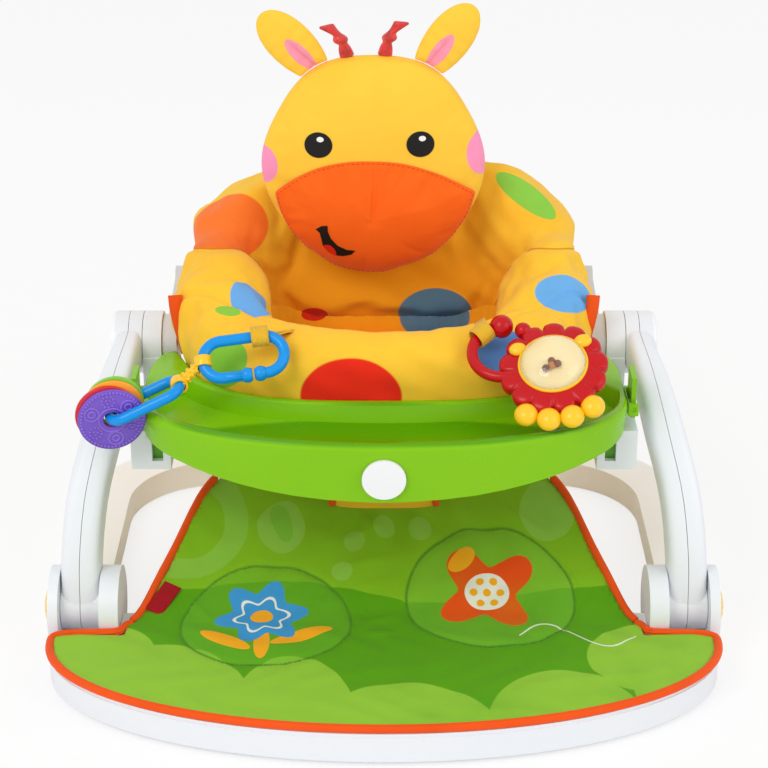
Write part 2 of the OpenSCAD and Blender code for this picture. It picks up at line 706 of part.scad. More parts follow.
cushion_half_w = 96;
cushion_half_l = 58;
cushion_t = 11.5;       // half thickness
cushion_y = 102;
cushion_up = 54;        // height of its middle above the base
cushion_tilt = 15;
module seat_cushion() color("orange") {
    rim = [for (k = [0 : 31]) let (a = 360 * k / 32)
        [cushion_half_w * signed_pow(cos(a), 0.4), cushion_half_l * signed_pow(sin(a), 0.4)]];
    translate([0, cushion_y, base_h + cushion_up]) rotate([-cushion_tilt, 0, 0])
        pillow(rim, cushion_t, cushion_t, 4);
}

// ---------------------------------------------------------------- backrest

back_y = 190;          // middle of the pad at its lower edge
back_z = frame_z + frame_t + back_gap;
module in_back_plane() translate([0, back_y, back_z]) rotate([90 - back_lean, 0, 0]) children();

// Outline of the back pad, right half, shares of the half width and the height, from the bottom
BACK_RIM = [
    [0, 0], [0.45, 0.0], [0.66, 0.04], [0.84, 0.2], [0.975, 0.46], [0.985, 0.66], [0.85, 0.84],
    [0.62, 0.96], [0.35, 1.0], [0, 1.0]
];
// The pad's front swells into shoulders that lie on the arms. Their underside follows a circle
// round the upper hubs, just outside the arms.
shoulder_circle = arm_circle + 2;
SHOULDER_X = [66, 150];     // where a shoulder starts and where it is full, from the middle
SHOULDER_Z = [36, 104];     // the same, above the pad's lower edge
function ease(v, low, high) =
    let (f = min(1, max(0, (v - low) / (high - low)))) f * f * (3 - 2 * f);
function shoulder(p) = let (
    v = p.y + back_h / 2, n = [-cos(back_lean), sin(back_lean)],
    a = [back_y + v * sin(back_lean) - top_y, back_z + v * cos(back_lean) - top_z],
    an = a * n, d = an * an - a * a + shoulder_circle * shoulder_circle,
    room = d > 0 ? -an - sqrt(d) : 200)
    min(room - back_t / 2, (p.x < 0 ? shoulder_left : shoulder_right)
        * ease(abs(p.x), SHOULDER_X[0], SHOULDER_X[1]) * ease(v, SHOULDER_Z[0], SHOULDER_Z[1]));
module back_pad() {
    half = [for (k = [0 : 18]) spline(BACK_RIM, k / 18 * (len(BACK_RIM) - 1))];
    rim = concat([for (p = half) [p.x * back_half_w, (p.y - 0.5) * back_h]],
                 [for (k = [17 : -1 : 1]) [-half[k].x * back_half_w, (half[k].y - 0.5) * back_h]]);
    shares = [0.3, 0.5, 0.62, 0.74, 0.84, 0.92, 0.97];
    function level(s, side) = [for (p = rim) [p.x * s, p.y * s,
        side * bulge(s, 5) * back_t / 2 + (side > 0 ? bulge(s, 4) * shoulder(p * s) : 0)]];
    color("orange") in_back_plane() translate([0, back_h / 2, 0])
        loft(concat([for (s = [0.5, 0.8, 0.95]) level(s, -1)], [level(1, 0)],
                    [for (s = reverse(shares)) level(s, 1)]));
}

// Steel hoop behind the pad, with flat arms that end in eyes round the upper pins
hoop_half_w = 150;
hoop_low = 44;
hoop_top = back_h - 26;
hoop_bend = 45;
cross_r = hoop_r + 1;
hoop_back = -back_t / 2 - cross_r - soft_gap;
back_eye_out = back_eye_in + back_eye_w;
module back_frame() color("silver") {
    in_back_plane() translate([0, 0, hoop_back]) {
        for (side = [-1, 1]) on_side(side) {
            translate([hoop_half_w, hoop_low, 0]) rotate([-90, 0, 0])
                cylinder(r = hoop_r, h = hoop_top - hoop_bend - hoop_low);
            translate([hoop_half_w - hoop_bend, hoop_top - hoop_bend, 0])
                rotate_extrude(angle = 90) translate([hoop_bend, 0]) circle(hoop_r, $fn = 32);
        }
        along_x(-hoop_half_w + hoop_bend, hoop_half_w - hoop_bend, hoop_r, hoop_top, 0);
        along_x(-back_eye_in - 2, back_eye_in + 2, cross_r, hoop_low, 0);
    }
    for (side = [-1, 1]) on_side(side) difference() {
        union() {
            along_x(back_eye_in, back_eye_out, back_eye_r, top_y, top_z);
            translate([back_eye_in + 1, top_y, top_z]) rotate([arm_angle, 0, 0])
                translate([0, 0, -9]) cube([back_eye_w - 2, arm_reach, 18]);
            along_x(back_eye_in, back_eye_out, cross_r + 3, cross_bar[0], cross_bar[1]);
        }
        along_x(back_eye_in - 1, back_eye_out + 1, top_pin_r + run_gap, top_y, top_z);
    }
}
// The flat arm runs from the eye to the hoop's cross bar
cross_bar = [back_y + hoop_low * sin(back_lean) - hoop_back * cos(back_lean),
             back_z + hoop_low * cos(back_lean) + hoop_back * sin(back_lean)];
arm_angle = atan2(cross_bar[1] - top_z, cross_bar[0] - top_y);
arm_reach = norm(cross_bar - [top_y, top_z]);

// ---------------------------------------------------------------- head

HEAD = [1.01, 0.985, 1.03, 1.0, 1.03, 0.985, 1.01, 0.98, 0.96, 0.97, 0.96, 0.98];
MUZZLE = [0.95, 0.87, 0.66, 0.6, 0.66, 0.87, 0.95, 0.79, 0.65, 0.6, 0.65, 0.79];
head_y = 160;
head_power = 2.4;
muzzle_drop = 42;
function head_rim(a) = head_r * round_spline(HEAD, a);
function head_face(x, y) = head_t * bulge(min(norm([x, y]) / head_rim(atan2(y, x)), 1), head_power);
module at_head() translate([-head_shift, head_y, head_z]) rotate([90, 0, 0]) children();

module head() color("gold") at_head()
    pillow([for (k = [0 : 35]) let (a = k * 10) head_rim(a) * [cos(a), sin(a)]],
           head_t, head_t, head_power);

// The muzzle lies on the face: its back follows the head's own surface
module muzzle() {
    shares = [0.4, 0.7, 0.88, 0.97];
    function rim(s) = [for (k = [0 : 35]) let (a = k * 10, r = s * head_r * round_spline(MUZZLE, a))
        [r * cos(a), r * sin(a) - muzzle_drop]];
    function skin(s, out) = [for (p = rim(s))
        [p.x, p.y, head_face(p.x, p.y) + muzzle_gap(p) + out * muzzle_t * bulge(s, 2.2)]];
    // the gap widens towards the head's rim, where its surface turns away
    function muzzle_gap(p) = soft_gap + 1.2 + 4 * pow(min(1, norm(p) / head_rim(atan2(p.y, p.x))), 5);
    color("darkorange") at_head() loft(concat(
        [for (s = shares) skin(s, 0)], [for (s = reverse(concat([0.2], shares))) skin(s, 1)]));
}

// Ears: [direction from the head's middle, own tilt], both turned from upright
EAR_LEFT = [33, 45];
EAR_RIGHT = [-30, -37];
ear_reach = 0.32;      // how far the ear's middle stands off the head's rim, as a share of its length
module ear(place) {
    rim_here = head_rim(90 + place[0]);
    middle = (rim_here + ear_reach * ear_len) * [cos(90 + place[0]), sin(90 + place[0])];
    function out_of_head(p) = let (r = head_rim(atan2(p.y, p.x)) + 0.8) norm(p) < r ? p * r / norm(p) : p;
    rim = [for (k = [0 : 31]) let (
        a = k * 360 / 32, x = ear_w / 2 * cos(a) * (1 + 0.1 * sin(a)), y = ear_len / 2 * sin(a),
        t = place[1])
        out_of_head(middle + [x * cos(t) - y * sin(t), x * sin(t) + y * cos(t)]) - middle];
    color("gold") at_head() translate([middle.x, middle.y, 0]) pillow(rim, 7, 7, 2.2);
}

// Knotted ribbon horns: [along, sideways, half width, half thickness] in the head's plane
HORN = [[0, 0, 6, 3], [7, 0.5, 5, 3], [12, 1, 3.2, 3.2], [16, 2.4, 6.4, 5.6], [21, 4, 3, 3],
        [26, 8, 4.2, 2.6], [31, 12, 6.5, 1.8]];
module horn(turn, lean) at_head() rotate([0, 0, turn]) translate([0, head_rim(90 + turn) + 0.8, 0]) {
    loft([for (k = [0 : 14]) let (s = spline(HORN, k / 14 * 6))
        [for (j = [0 : 9]) let (a = 36 * j)
            [lean * s[1] - s[2] * cos(a), s[0], s[3] * sin(a)]]]);
}
module horns() color("red") {
    horn(13, -1);
    horn(-6, 1);
}

// ---------------------------------------------------------------- tray

// Outline loop of the tray drawn in by inset: front edge left to right, rear edge right to left.
// share pulls the ends of the loop in, so that the well stops before the wings; the front edge
// rises by lift towards the sides.
function tray_loop(inset, z, share = 1, lift = 0, rear_z = undef) =
    let (steps = 22, n = len(TRAY_FRONT) - 1)
    concat([for (k = [-steps : steps]) let (p = tray_point(pulled(k / steps, share) * n, 1, inset))
                [p.x, p.y, z + lift * min(1, pow(p.x / (tray_half_w - 5), 2))]],
           [for (k = [steps : -1 : -steps])
                let (p = tray_point(pulled(k / steps, share) * n, -1, inset))
                [p.x, p.y, is_undef(rear_z) ? z : rear_z]]);
// All loops share their stations up to even_share; only the rest is pulled in
even_share = 0.58;
function pulled(f, share) = abs(f) < even_share ? f
    : sign(f) * lerp(even_share, share, (abs(f) - even_share) / (1 - even_share));
function tray_point(t, edge, inset) =
    let (s = t < 0 ? -1 : 1, f = spline(TRAY_FRONT, abs(t)),
         rear = spline(TRAY_REAR, abs(t)), q = rear + tray_rear_gap * rear_out(abs(t)),
         w = unit(q - f), d = min(inset, norm(q - f) * 0.42),
         p = edge > 0 ? f + d * w : q - d * w)
    [s * p.x, p.y];
// direction from the padding out to the tray, square to the rear edge
function rear_out(t) = let (a = spline(TRAY_REAR, max(t - 0.05, 0)), b = spline(TRAY_REAR, t + 0.05),
    w = unit(b - a)) [w.y, -w.x];

rear_skirt = 20;
well_share = 0.66;
module tray() {
    low = rim_z - apron_h;
    rise = apron_h - apron_side_h;
    floor_z = rim_z - well_depth;
    // the apron in front is deep, the skirt along the padding is short
    function skirt(inset, share = 1) = tray_loop(inset, low, share, rise, rim_z - rear_skirt);
    color("yellowgreen") loft([
        tray_loop(15 - tray_wall, floor_z - tray_wall, well_share + 0.008),
        tray_loop(10.5 - tray_wall, rim_z - 1 - tray_wall, well_share + 0.03),
        tray_loop(4.8, rim_z - 1 - tray_wall, 0.78), tray_loop(4.3, rim_z - 1 - tray_wall, 0.88),
        tray_loop(tray_wall + 0.8, rim_z - 1 - tray_wall, 0.983),
        skirt(tray_wall + 3, 0.983), skirt(3),
        tray_loop(0, rim_z - 6), tray_loop(1, rim_z - 1.5, 0.997), tray_loop(3.5, rim_z, 0.988),
        tray_loop(5.5, rim_z, 0.88), tray_loop(7.5, rim_z, 0.78),
        tray_loop(9, rim_z, well_share + 0.035), tray_loop(10.5, rim_z - 2, well_share + 0.02),
        tray_loop(15, floor_z, well_share)
    ], "strip");
}

// Each post meets the underside of the well in front and that of the wing behind it
post_pad = 12;
post_rib = 4.5;
module tray_posts() color("green") for (side = [-1, 1]) on_side(side) {
    box([post_in, post_y0, bracket_top - post_depth], [post_out, post_y1, bracket_top + 5]);
    box([post_in, post_y0, bracket_top + 5],
        [post_out - post_rib, post_y0 + post_pad, rim_z - well_depth - tray_wall]);
    box([post_out - post_rib, post_y1 - 2.5, bracket_top + 1],
        [post_out, post_y1 + 6, rim_z - 1 - tray_wall]);
}

// The badge lies on the sloping apron
apron_slope = atan(3 / (apron_h - 6));
badge_z = rim_z - apron_h / 2 - 4;
module tray_badge() color("white")
    translate([0, -tray_front + tan(apron_slope) * (rim_z - 6 - badge_z) - 0.1, badge_z])
        rotate([90 + apron_slope, 0, 0]) cylinder(r = badge_r, h = 2.4);

// Latch tabs turn on trunnions in lugs on the tray's sides
lug_x = tray_half_w + 0.8;
tab_x = lug_x + 4.8;
tab_z = rim_z - 9;
tab_y0 = -50.8;
tab_y1 = -21.2;
trunnion_r = 2;
module latch_lugs() color("yellowgreen") for (side = [-1, 1]) on_side(side) difference() {
    union() {
        box([lug_x, tab_y0 - 6, tab_z - 6], [lug_x + 1, tab_y1 + 6, tab_z + 5]);
        for (y = [tab_y0 - 6, tab_y1 + 1]) box([lug_x, y, tab_z - 6], [lug_x + 9, y + 5, tab_z + 5]);
    }
    translate([tab_x, tab_y0 - 8, tab_z]) rotate([-90, 0, 0])
        cylinder(r = trunnion_r + run_gap, h = tab_y1 - tab_y0 + 16);
}
module latch_tab(side) color("limegreen") on_side(side) {
    translate([tab_x, tab_y0 - 5, tab_z]) rotate([-90, 0, 0])
        cylinder(r = trunnion_r, h = tab_y1 - tab_y0 + 10);
    box([tab_x - 2, tab_y0, tab_z - 10], [tab_x + 2.2, tab_y1, tab_z + 27]);
}

// ---------------------------------------------------------------- webbing and rattle

// Middle of the rattle, its tilt back and its roll
rattle_at = [tray_half_w - 67, 72 - tray_front, rim_z + 38];
rattle_tilt = 30;
rattle_roll = 8;
module at_rattle() translate(rattle_at) rotate([rattle_tilt, -rattle_roll, 0]) children();
// Open ring of the rattle, in the rattle's own plane
grip_at = [-40, 24, 2];
grip_web = 128;        // where the webbing holds the ring
grip_big = 88;         // the ring is open between its big ball and its small one
grip_small = 46;
function grip_end(a) = grip_at + grip_r * [cos(a), sin(a), 0];

module web_loop(r_in) {
    rotate([0, 90, 0]) difference() {
        cylinder(r = r_in + 1.8, h = web_w, center = true);
        cylinder(r = r_in, h = web_w + 2, center = true);
    }
}

module webbing_right() color("gold") at_rattle()
    translate(grip_end(grip_web)) rotate([0, 0, grip_web - 90])
        web_loop(grip_bar_r + 2.4);

module webbing_left() color("gold") at_near_link()
    translate([link_len / 2 - link_wide / 2 - 2, link_wide / 2, 0]) web_loop(link_bar_r + 2.4);

module rattle_body() color("red") at_rattle() {
    difference() {
        union() {
            cylinder(r = mane_r - 5, h = mane_t, center = true);
            for (k = [0 : 12]) rotate([0, 0, k * 360 / 13]) translate([mane_r - 8, 0, 0])
                cylinder(r = 8, h = mane_t - 1, center = true);
            translate(grip_at) rotate([0, 0, grip_big]) rotate_extrude(angle = 360 - grip_big + grip_small)
                translate([grip_r, 0]) circle(grip_bar_r, $fn = 32);
            translate(grip_end(grip_big)) sphere(grip_bar_r + 4.5);
            translate(grip_end(grip_small)) sphere(grip_bar_r + 2);
        }
        // seat of the clear dome, front and back, with the bead chamber between
        cylinder(r = dome_r, h = mane_t + 2, center = true);
    }
}

dome_wall = 2;
module rattle_dome() {
    rise = 13;
    ball = (dome_r * dome_r + rise * rise) / (2 * rise);
    module lens(inset) rotate_extrude() intersection() {
        translate([0, mane_t / 2 - 2 + rise - ball]) circle(ball - inset, $fn = 180);
        translate([0, mane_t / 2 - 2]) square([dome_r, rise + 2]);
    }
    color([1, 0.9, 0.6, 0.5]) at_rattle() difference() {
        union() {
            lens(0);
            cylinder(r = dome_r - 0.1, h = mane_t / 2 - 2 + 0.01);
            translate([0, 0, -mane_t / 2 + 1]) cylinder(r = dome_r - 0.1, h = mane_t / 2 - 1 + 0.01);
        }
        translate([0, 0, -mane_t / 2 + 3]) cylinder(r = dome_r - dome_wall, h = mane_t - 5);
    }
}

module rattle_trim() color("gold") at_rattle() {
    difference() {
        translate([0, 0, mane_t / 2]) cylinder(r = dome_r + 3, h = 2);
        translate([0, 0, mane_t / 2 - 1]) cylinder(r = dome_r + 0.2, h = 4);
    }
    for (a = [35, 145]) rotate([0, 0, a]) translate([dome_r + 8, 0, mane_t / 2]) {
        cylinder(r = 6, h = 4);
        translate([-6, -4, 0]) cube([8, 8, 4]);
    }
}

module rattle_beads() color("brown") at_rattle()
    for (k = [0 : 5]) rotate([0, 0, k * 60]) translate([10, 0, -mane_t / 2 + 3 + 3.1]) sphere(3, $fn = 24);

// Four rounded feet on the rattle's front edge
module rattle_feet() color("yellow") at_rattle() for (k = [-1.5 : 1.5])
    rotate([0, 0, -90 + k * 22]) translate([mane_r + 9.2, 0, 0]) cylinder(r = 9, h = 13, center = true);

// ---------------------------------------------------------------- links and discs

link_len = 70;
link_wide = 34;
link_gap_x = 5;         // the near link is open in its front bar
near_at = [91 - tray_half_w, 87 - tray_front, rim_z + 43];
module at_near_link() translate(near_at) rotate([45, 0, 0]) rotate([0, 0, 8]) children();

// Oval link: two straight bars and two half rings; len and wide are those of its centre line
module oval_link(len, wide, r) {
    straight = len - wide;
    for (end = [-1, 1]) translate([end * straight / 2, 0, 0]) rotate([0, 0, end > 0 ? -90 : 90])
        rotate_extrude(angle = 180) translate([wide / 2, 0]) circle(r, $fn = 32);
    for (y = [-1, 1]) translate([-straight / 2, y * wide / 2, 0]) rotate([0, 90, 0])
        cylinder(r = r, h = straight);
}

module near_link() color("dodgerblue") at_near_link() difference() {
    union() {
        oval_link(link_len, link_wide, link_bar_r);
        for (x = [-3.5, 7.5]) translate([link_gap_x + x, -link_wide / 2, 0]) sphere(link_bar_r + 1.8);
    }
    translate([link_gap_x, -link_wide / 2 - 8, -8]) cube([3, 16, 16]);
}

// The second link hangs over the tray's edge and carries the discs on its far bend
far_at = [7 - tray_half_w, 68 - tray_front, rim_z + 10.5];
far_len = 65;
far_wide = 24;
far_turn = [0, -23.7, 9.7];
far_roll = 6;
module at_far_link() translate(far_at) rotate(far_turn) rotate([far_roll, 0, 0]) children();
module far_link() color("dodgerblue") at_far_link() oval_link(far_len, far_wide, link_bar_r);

// Strap between the links: an eye round the end of each, and a web between them
strap_hole = link_bar_r + 1.4;
strap_a = near_at + [-34.7, -3.4, -3.4];
strap_b = far_at + [29.3, 5, 13];
strap_way = strap_b - strap_a;
module strap_eyes(r, w) {
    at_near_link() translate([-link_len / 2, 0, 0]) rotate([90, 0, 0])
        cylinder(r = r, h = w, center = true);
    at_far_link() translate([far_len / 2, 0, 0]) rotate([90, 0, 0])
        cylinder(r = r, h = w, center = true);
}
module link_strap() color("gold") difference() {
    union() {
        strap_eyes(strap_hole + 2, 9);
        translate(strap_a)
            rotate([0, acos(strap_way.z / norm(strap_way)), atan2(strap_way.y, strap_way.x)])
            cylinder(r = 4, h = norm(strap_way));
    }
    strap_eyes(strap_hole, 24);
}

// Discs hang on the far bend through their holes, fanned out upwards
disc_step = disc_t + 0.35;
module play_disc(place, shift, turn) at_far_link()
    translate([-far_len / 2 + 0.8, place * disc_step, 0]) rotate([90, 0, 0]) difference() {
        rotate([0, 0, turn]) translate([shift, 0, 0])
            cylinder(r = disc_r - 1 - shift / 3, h = disc_t, center = true);
        cylinder(r = link_bar_r + 3.2, h = disc_t + 2, center = true);
    }
module disc_purple() color("mediumpurple") play_disc(-1.5, 0, 0);
module disc_red() color("crimson") play_disc(-0.5, 5, 110);
module disc_orange() color("orange") play_disc(0.5, 8, 55);
module disc_green() color("limegreen") play_disc(1.5, 12, 48);

// ---------------------------------------------------------------- parts

base_plate();
rear_ring();
hub_housing(-1);  // hub_housing_left
hub_housing(1);  // hub_housing_right
lower_pins();
spring_washers();
housing_screws();
rubber_feet();
mat_front();
mat_piping();
mat_ramp();
ramp_piping();
woven_tag();
fold_button(-1);  // fold_button_left
fold_button(1);  // fold_button_right
leg_shell(-1, 1);  // leg_outer_shell_left
leg_shell(-1, -1);  // leg_inner_shell_left
leg_cap(-1);  // leg_cap_left
leg_shell(1, 1);  // leg_outer_shell_right
leg_shell(1, -1);  // leg_inner_shell_right
leg_cap(1);  // leg_cap_right
side_frame(-1);  // side_frame_left
side_frame(1);  // side_frame_right
upper_pins();
ring_frame();
frame_screws();
bumper();
arm_pad(-1);  // arm_pad_left
arm_pad(1);  // arm_pad_right
bindings();
crotch_panel();
seat_sling();
seat_cushion();
webbing_left();
webbing_right();
back_frame();
back_pad();
head();
muzzle();
ear(EAR_LEFT);  // ear_left
ear(EAR_RIGHT);  // ear_right
horns();
tray();
tray_posts();
tray_badge();
latch_lugs();
latch_tab(-1);  // latch_tab_left
latch_tab(1);  // latch_tab_right
rattle_body();
rattle_dome();
rattle_trim();
rattle_beads();
rattle_feet();
near_link();
link_strap();
far_link();
disc_purple();
disc_red();
disc_orange();
disc_green();
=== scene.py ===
# %% [markdown]
# # A baby floor seat, dressed for its portrait
# The imported CAD model is the skeleton: plastic legs, hubs, a tray and a floor base. Blender adds
# what a CAD solid can't show well: stuffed cloth, printed spots, stitches, glossy toys and light.
# Every piece is made in place, in metres, and most then ride on one of the CAD bodies.

# %% Load the frame
import math

import bmesh
import bpy
import numpy as np
from mathutils import Matrix, Vector
from mathutils.bvhtree import BVHTree
from mathutils.geometry import delaunay_2d_cdt


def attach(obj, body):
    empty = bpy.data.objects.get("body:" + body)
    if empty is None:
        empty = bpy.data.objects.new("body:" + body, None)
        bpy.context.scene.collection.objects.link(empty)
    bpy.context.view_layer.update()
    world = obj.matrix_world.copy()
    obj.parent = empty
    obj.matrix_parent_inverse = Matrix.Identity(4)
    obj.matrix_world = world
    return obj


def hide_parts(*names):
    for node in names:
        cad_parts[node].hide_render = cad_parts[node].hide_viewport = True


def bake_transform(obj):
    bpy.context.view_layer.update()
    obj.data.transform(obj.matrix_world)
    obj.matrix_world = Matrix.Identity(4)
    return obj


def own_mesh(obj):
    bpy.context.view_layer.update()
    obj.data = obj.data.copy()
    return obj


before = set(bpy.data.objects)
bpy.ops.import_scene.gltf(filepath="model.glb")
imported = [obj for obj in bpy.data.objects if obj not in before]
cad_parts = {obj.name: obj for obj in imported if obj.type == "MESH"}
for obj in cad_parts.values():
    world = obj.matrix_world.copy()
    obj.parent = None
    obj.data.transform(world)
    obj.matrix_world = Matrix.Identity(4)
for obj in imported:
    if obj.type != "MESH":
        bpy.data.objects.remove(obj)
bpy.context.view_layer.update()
MM = 0.001

# %% [markdown]
# ## The camera
# The photograph looks down at the seat by 24 degrees from about two metres away. The camera is set
# first, so that each later piece can be checked against the picture.


# %% Camera
def add_object(name, data):
    made = bpy.data.objects.new(name, data)
    bpy.context.collection.objects.link(made)
    return made


EYE = np.array([0, -1.7346, 0.9908])
TILT = math.radians(24)
FOCAL, FRAME_MIDDLE = 2131, 384  # pixels of the photograph
camera = add_object("camera", bpy.data.cameras.new("camera"))
camera.data.lens = 99.9
camera.data.sensor_width = 36
camera.location = EYE
camera.rotation_euler = (math.radians(90) - TILT, 0, 0)
bpy.context.scene.camera = camera
print("camera stands", round(camera.location.length, 2), "m from the seat")

# %% [markdown]
# ## Small tools for meshes
# A soft form is easiest to write as rows of points: each row is a closed loop, and neighbouring
# loops are joined by faces. The same few helpers then make the head, the ears, the mat and the cord.


# %% Mesh helpers
def edit(piece, change):
    """Runs a change on a piece's mesh in its editable form."""
    work = bmesh.new()
    work.from_mesh(piece.data)
    change(work)
    work.to_mesh(piece.data)
    work.free()
    return piece


def outward(work):
    """Merges doubles and turns all faces outwards."""
    bmesh.ops.remove_doubles(work, verts=work.verts, dist=0.01 * MM)
    bmesh.ops.recalc_face_normals(work, faces=work.faces)


def add_mesh(name, points, faces, edges=()):
    """A smooth mesh object from points in millimetres."""
    mesh = bpy.data.meshes.new(name)
    mesh.from_pydata([tuple(np.asarray(p, float) * MM) for p in points], edges, faces)
    mesh.validate()
    mesh.update()
    mesh.shade_smooth()
    return add_object(name, mesh)


def loft(name, rows, caps=True):
    """A solid through rows of points; each end gets a fan round one extra point."""
    rows = np.asarray(rows, float)
    count, columns = rows.shape[:2]
    points, faces = list(rows.reshape(-1, 3)), []
    for a in range((count - 1) * columns):
        b = a - columns + 1 if (a + 1) % columns == 0 else a + 1
        faces.append((a, b, b + columns, a + columns))
    if caps:
        first, start = len(points), (count - 1) * columns
        points += [rows[0].mean(0), rows[-1].mean(0)]
        for c in range(columns):
            n = (c + 1) % columns
            faces += [(first, n, c), (first + 1, start + c, start + n)]
    return edit(add_mesh(name, points, faces), outward)


def spline(a, b, c, d, f):
    """Value at the share f between b and c, with a and d as the outer neighbours."""
    return 0.5 * (2 * b + (c - a) * f + (2 * a - 5 * b + 4 * c - d) * f * f
                  + (3 * b - a - 3 * c + d) * f ** 3)


def smooth_path(points, count):
    """A smooth line with so many points, through a few given ones."""
    v, n, path = np.asarray(points, float), len(points) - 1, []
    for t in np.linspace(0, n, count):
        i = int(min(t, n - 1))
        path.append(spline(v[max(i - 1, 0)], v[i], v[i + 1], v[min(i + 2, n)], t - i))
    return path


def curve_round(values, degrees):
    """Smooth value at an angle, for values at equal angles all the way round."""
    n = len(values)
    t = (degrees % 360) / 360 * n
    i = int(t)
    return spline(*(values[(i + k) % n] for k in (-1, 0, 1, 2)), t - i)


def polar(radius, degrees):
    return radius * math.cos(math.radians(degrees)), radius * math.sin(math.radians(degrees))


def circle(columns):
    """Equal angles in radians, once round."""
    return np.linspace(0, 2 * math.pi, columns, False)


def finish_modifiers(piece):
    """Applies a piece's modifiers, so that its final mesh is a plain one."""
    bpy.context.view_layer.update()
    graph = bpy.context.evaluated_depsgraph_get()
    mesh = bpy.data.meshes.new_from_object(piece.evaluated_get(graph))
    piece.modifiers.clear()
    old, piece.data = piece.data, mesh
    if old.users == 0:
        bpy.data.meshes.remove(old)
    return piece


def modify(piece, *steps):
    """Adds modifiers, each a kind and its settings, and applies them."""
    for kind, settings in steps:
        step = piece.modifiers.new(kind.lower(), kind)
        for key, value in settings.items():
            setattr(step, key, value)
    return finish_modifiers(piece)


def subdivide(piece, levels=1):
    return modify(piece, ("SUBSURF", {"levels": levels, "render_levels": levels}))


print("mesh helpers ready")

# %% [markdown]
# ## Shader maths as plain expressions
# A material is a small calculation. The class below wraps a node's output, so that `1 - mask` or
# `noise * 0.2 + 0.9` adds the Math nodes by itself, and one method makes every other node. A soft
# piece's material reads each point's place at rest, so that its print would stay put if it bent.


# %% Material toolkit
REST = "place at rest"
WHOLE_TURN = 2 * math.pi


class Amount:
    """A number that varies over a surface."""

    def __init__(self, finish, socket):
        self.finish, self.socket = finish, socket

    def math(self, operation, *values):
        return Amount(self.finish, self.finish.node("ShaderNodeMath", {"operation": operation}, *values))

    def one(self, operation):
        return self.math(operation, self)

    def __add__(self, other):
        return self.math("ADD", self, other)

    def __radd__(self, other):
        return self.math("ADD", other, self)

    def __sub__(self, other):
        return self.math("SUBTRACT", self, other)

    def __rsub__(self, other):
        return self.math("SUBTRACT", other, self)

    def __mul__(self, other):
        return self.math("MULTIPLY", self, other)

    def __rmul__(self, other):
        return self.math("MULTIPLY", other, self)

    def step(self, low, high):
        """0 below low, 1 above high, smooth between; low may be the larger one."""
        return Amount(self.finish, self.finish.node(
            "ShaderNodeMapRange", {"interpolation_type": "SMOOTHSTEP"}, self, low, high, 0.0, 1.0))


class Finish:
    """A material built from nodes round one Principled shader."""

    def __init__(self, name, soft=False, **constants):
        self.material = bpy.data.materials.new(name)
        self.material.use_nodes = True
        self.tree = self.material.node_tree
        self.tree.nodes.clear()
        self.shader = self.tree.nodes.new("ShaderNodeBsdfPrincipled")
        out = self.tree.nodes.new("ShaderNodeOutputMaterial")
        self.tree.links.new(self.shader.outputs[0], out.inputs[0])
        self.place = (self.node("ShaderNodeAttribute", {"attribute_name": REST}, output="Vector") if soft
                      else self.node("ShaderNodeTexCoord", {}, output="Object"))
        for key, value in constants.items():
            self.shader.inputs[key.replace("_", " ")].default_value = value

    def node(self, kind, settings, *values, output=0, **named):
        """Makes a node: settings first, then its sockets in order or by name."""
        made = self.tree.nodes.new(kind)
        for key, value in settings.items():
            setattr(made, key, value)
        for key, value in list(enumerate(values)) + [(k.replace("_", " "), v) for k, v in named.items()]:
            if value is not None:
                self.feed(made.inputs[key], value)
        return made.outputs[output]

    def feed(self, socket, value):
        value = value.socket if isinstance(value, Amount) else value
        if isinstance(value, bpy.types.NodeSocket):
            self.tree.links.new(value, socket)
        elif hasattr(value, "__len__") and len(value) == 3 and socket.type == "RGBA":
            socket.default_value = (*value, 1)
        else:
            socket.default_value = value

    def set(self, **links):
        for key, value in links.items():
            self.feed(self.shader.inputs[key.replace("_", " ")], value)
        return self.material

    def noise(self, scale, detail=3.0, rough=0.5, where=None):
        return Amount(self, self.node("ShaderNodeTexNoise", {}, where or self.place, output=0, Scale=scale,
                                      Detail=detail, Roughness=rough))

    def axis(self, letter, where=None):
        return Amount(self, self.node("ShaderNodeSeparateXYZ", {}, where or self.place,
                                      output="XYZ".index(letter)))

    def grain(self, first, second, pitch):
        """Two crossing sine waves, a pitch in millimetres apart."""
        turns = WHOLE_TURN / (pitch * MM)
        return (first * turns).one("SINE") * (second * turns).one("SINE")

    def mix(self, share, first, second):
        made = self.tree.nodes.new("ShaderNodeMix")
        made.data_type = "RGBA"
        for index, value in ((0, share), (6, first), (7, second)):
            self.feed(made.inputs[index], value)
        return made.outputs[2]

    def around(self, centre, turn, radii):
        """Coordinates that run from 0 at a centre to 1 at the radii."""
        return self.node("ShaderNodeMapping", {"vector_type": "TEXTURE"}, self.place, centre, turn, radii)

    def length(self, vector):
        return Amount(self, self.node("ShaderNodeVectorMath", {"operation": "LENGTH"}, vector, output=1))

    def spot(self, centre, radii, turn=(0, 0, 0), edge=0.03):
        """A mask that is 1 inside an ellipsoid, in millimetres and degrees."""
        local = self.around(tuple(c * MM for c in centre), tuple(math.radians(a) for a in turn),
                            tuple(r * MM for r in radii))
        return self.length(local).step(1 + edge, 1 - edge)

    def bump(self, height, depth, strength=1.0, under=None):
        """A Bump node; depth is in millimetres."""
        return self.node("ShaderNodeBump", {}, Strength=strength, Distance=depth * MM, Height=height,
                         Normal=under)


def rgb(code, share=1.0):
    """Linear colour from a hex code, because Blender's sockets are linear; share darkens it."""
    parts = [int(code[i:i + 2], 16) / 255 for i in (0, 2, 4)]
    return tuple((p / 12.92 if p <= 0.04045 else ((p + 0.055) / 1.055) ** 2.4) * share for p in parts)


print("toolkit ready")

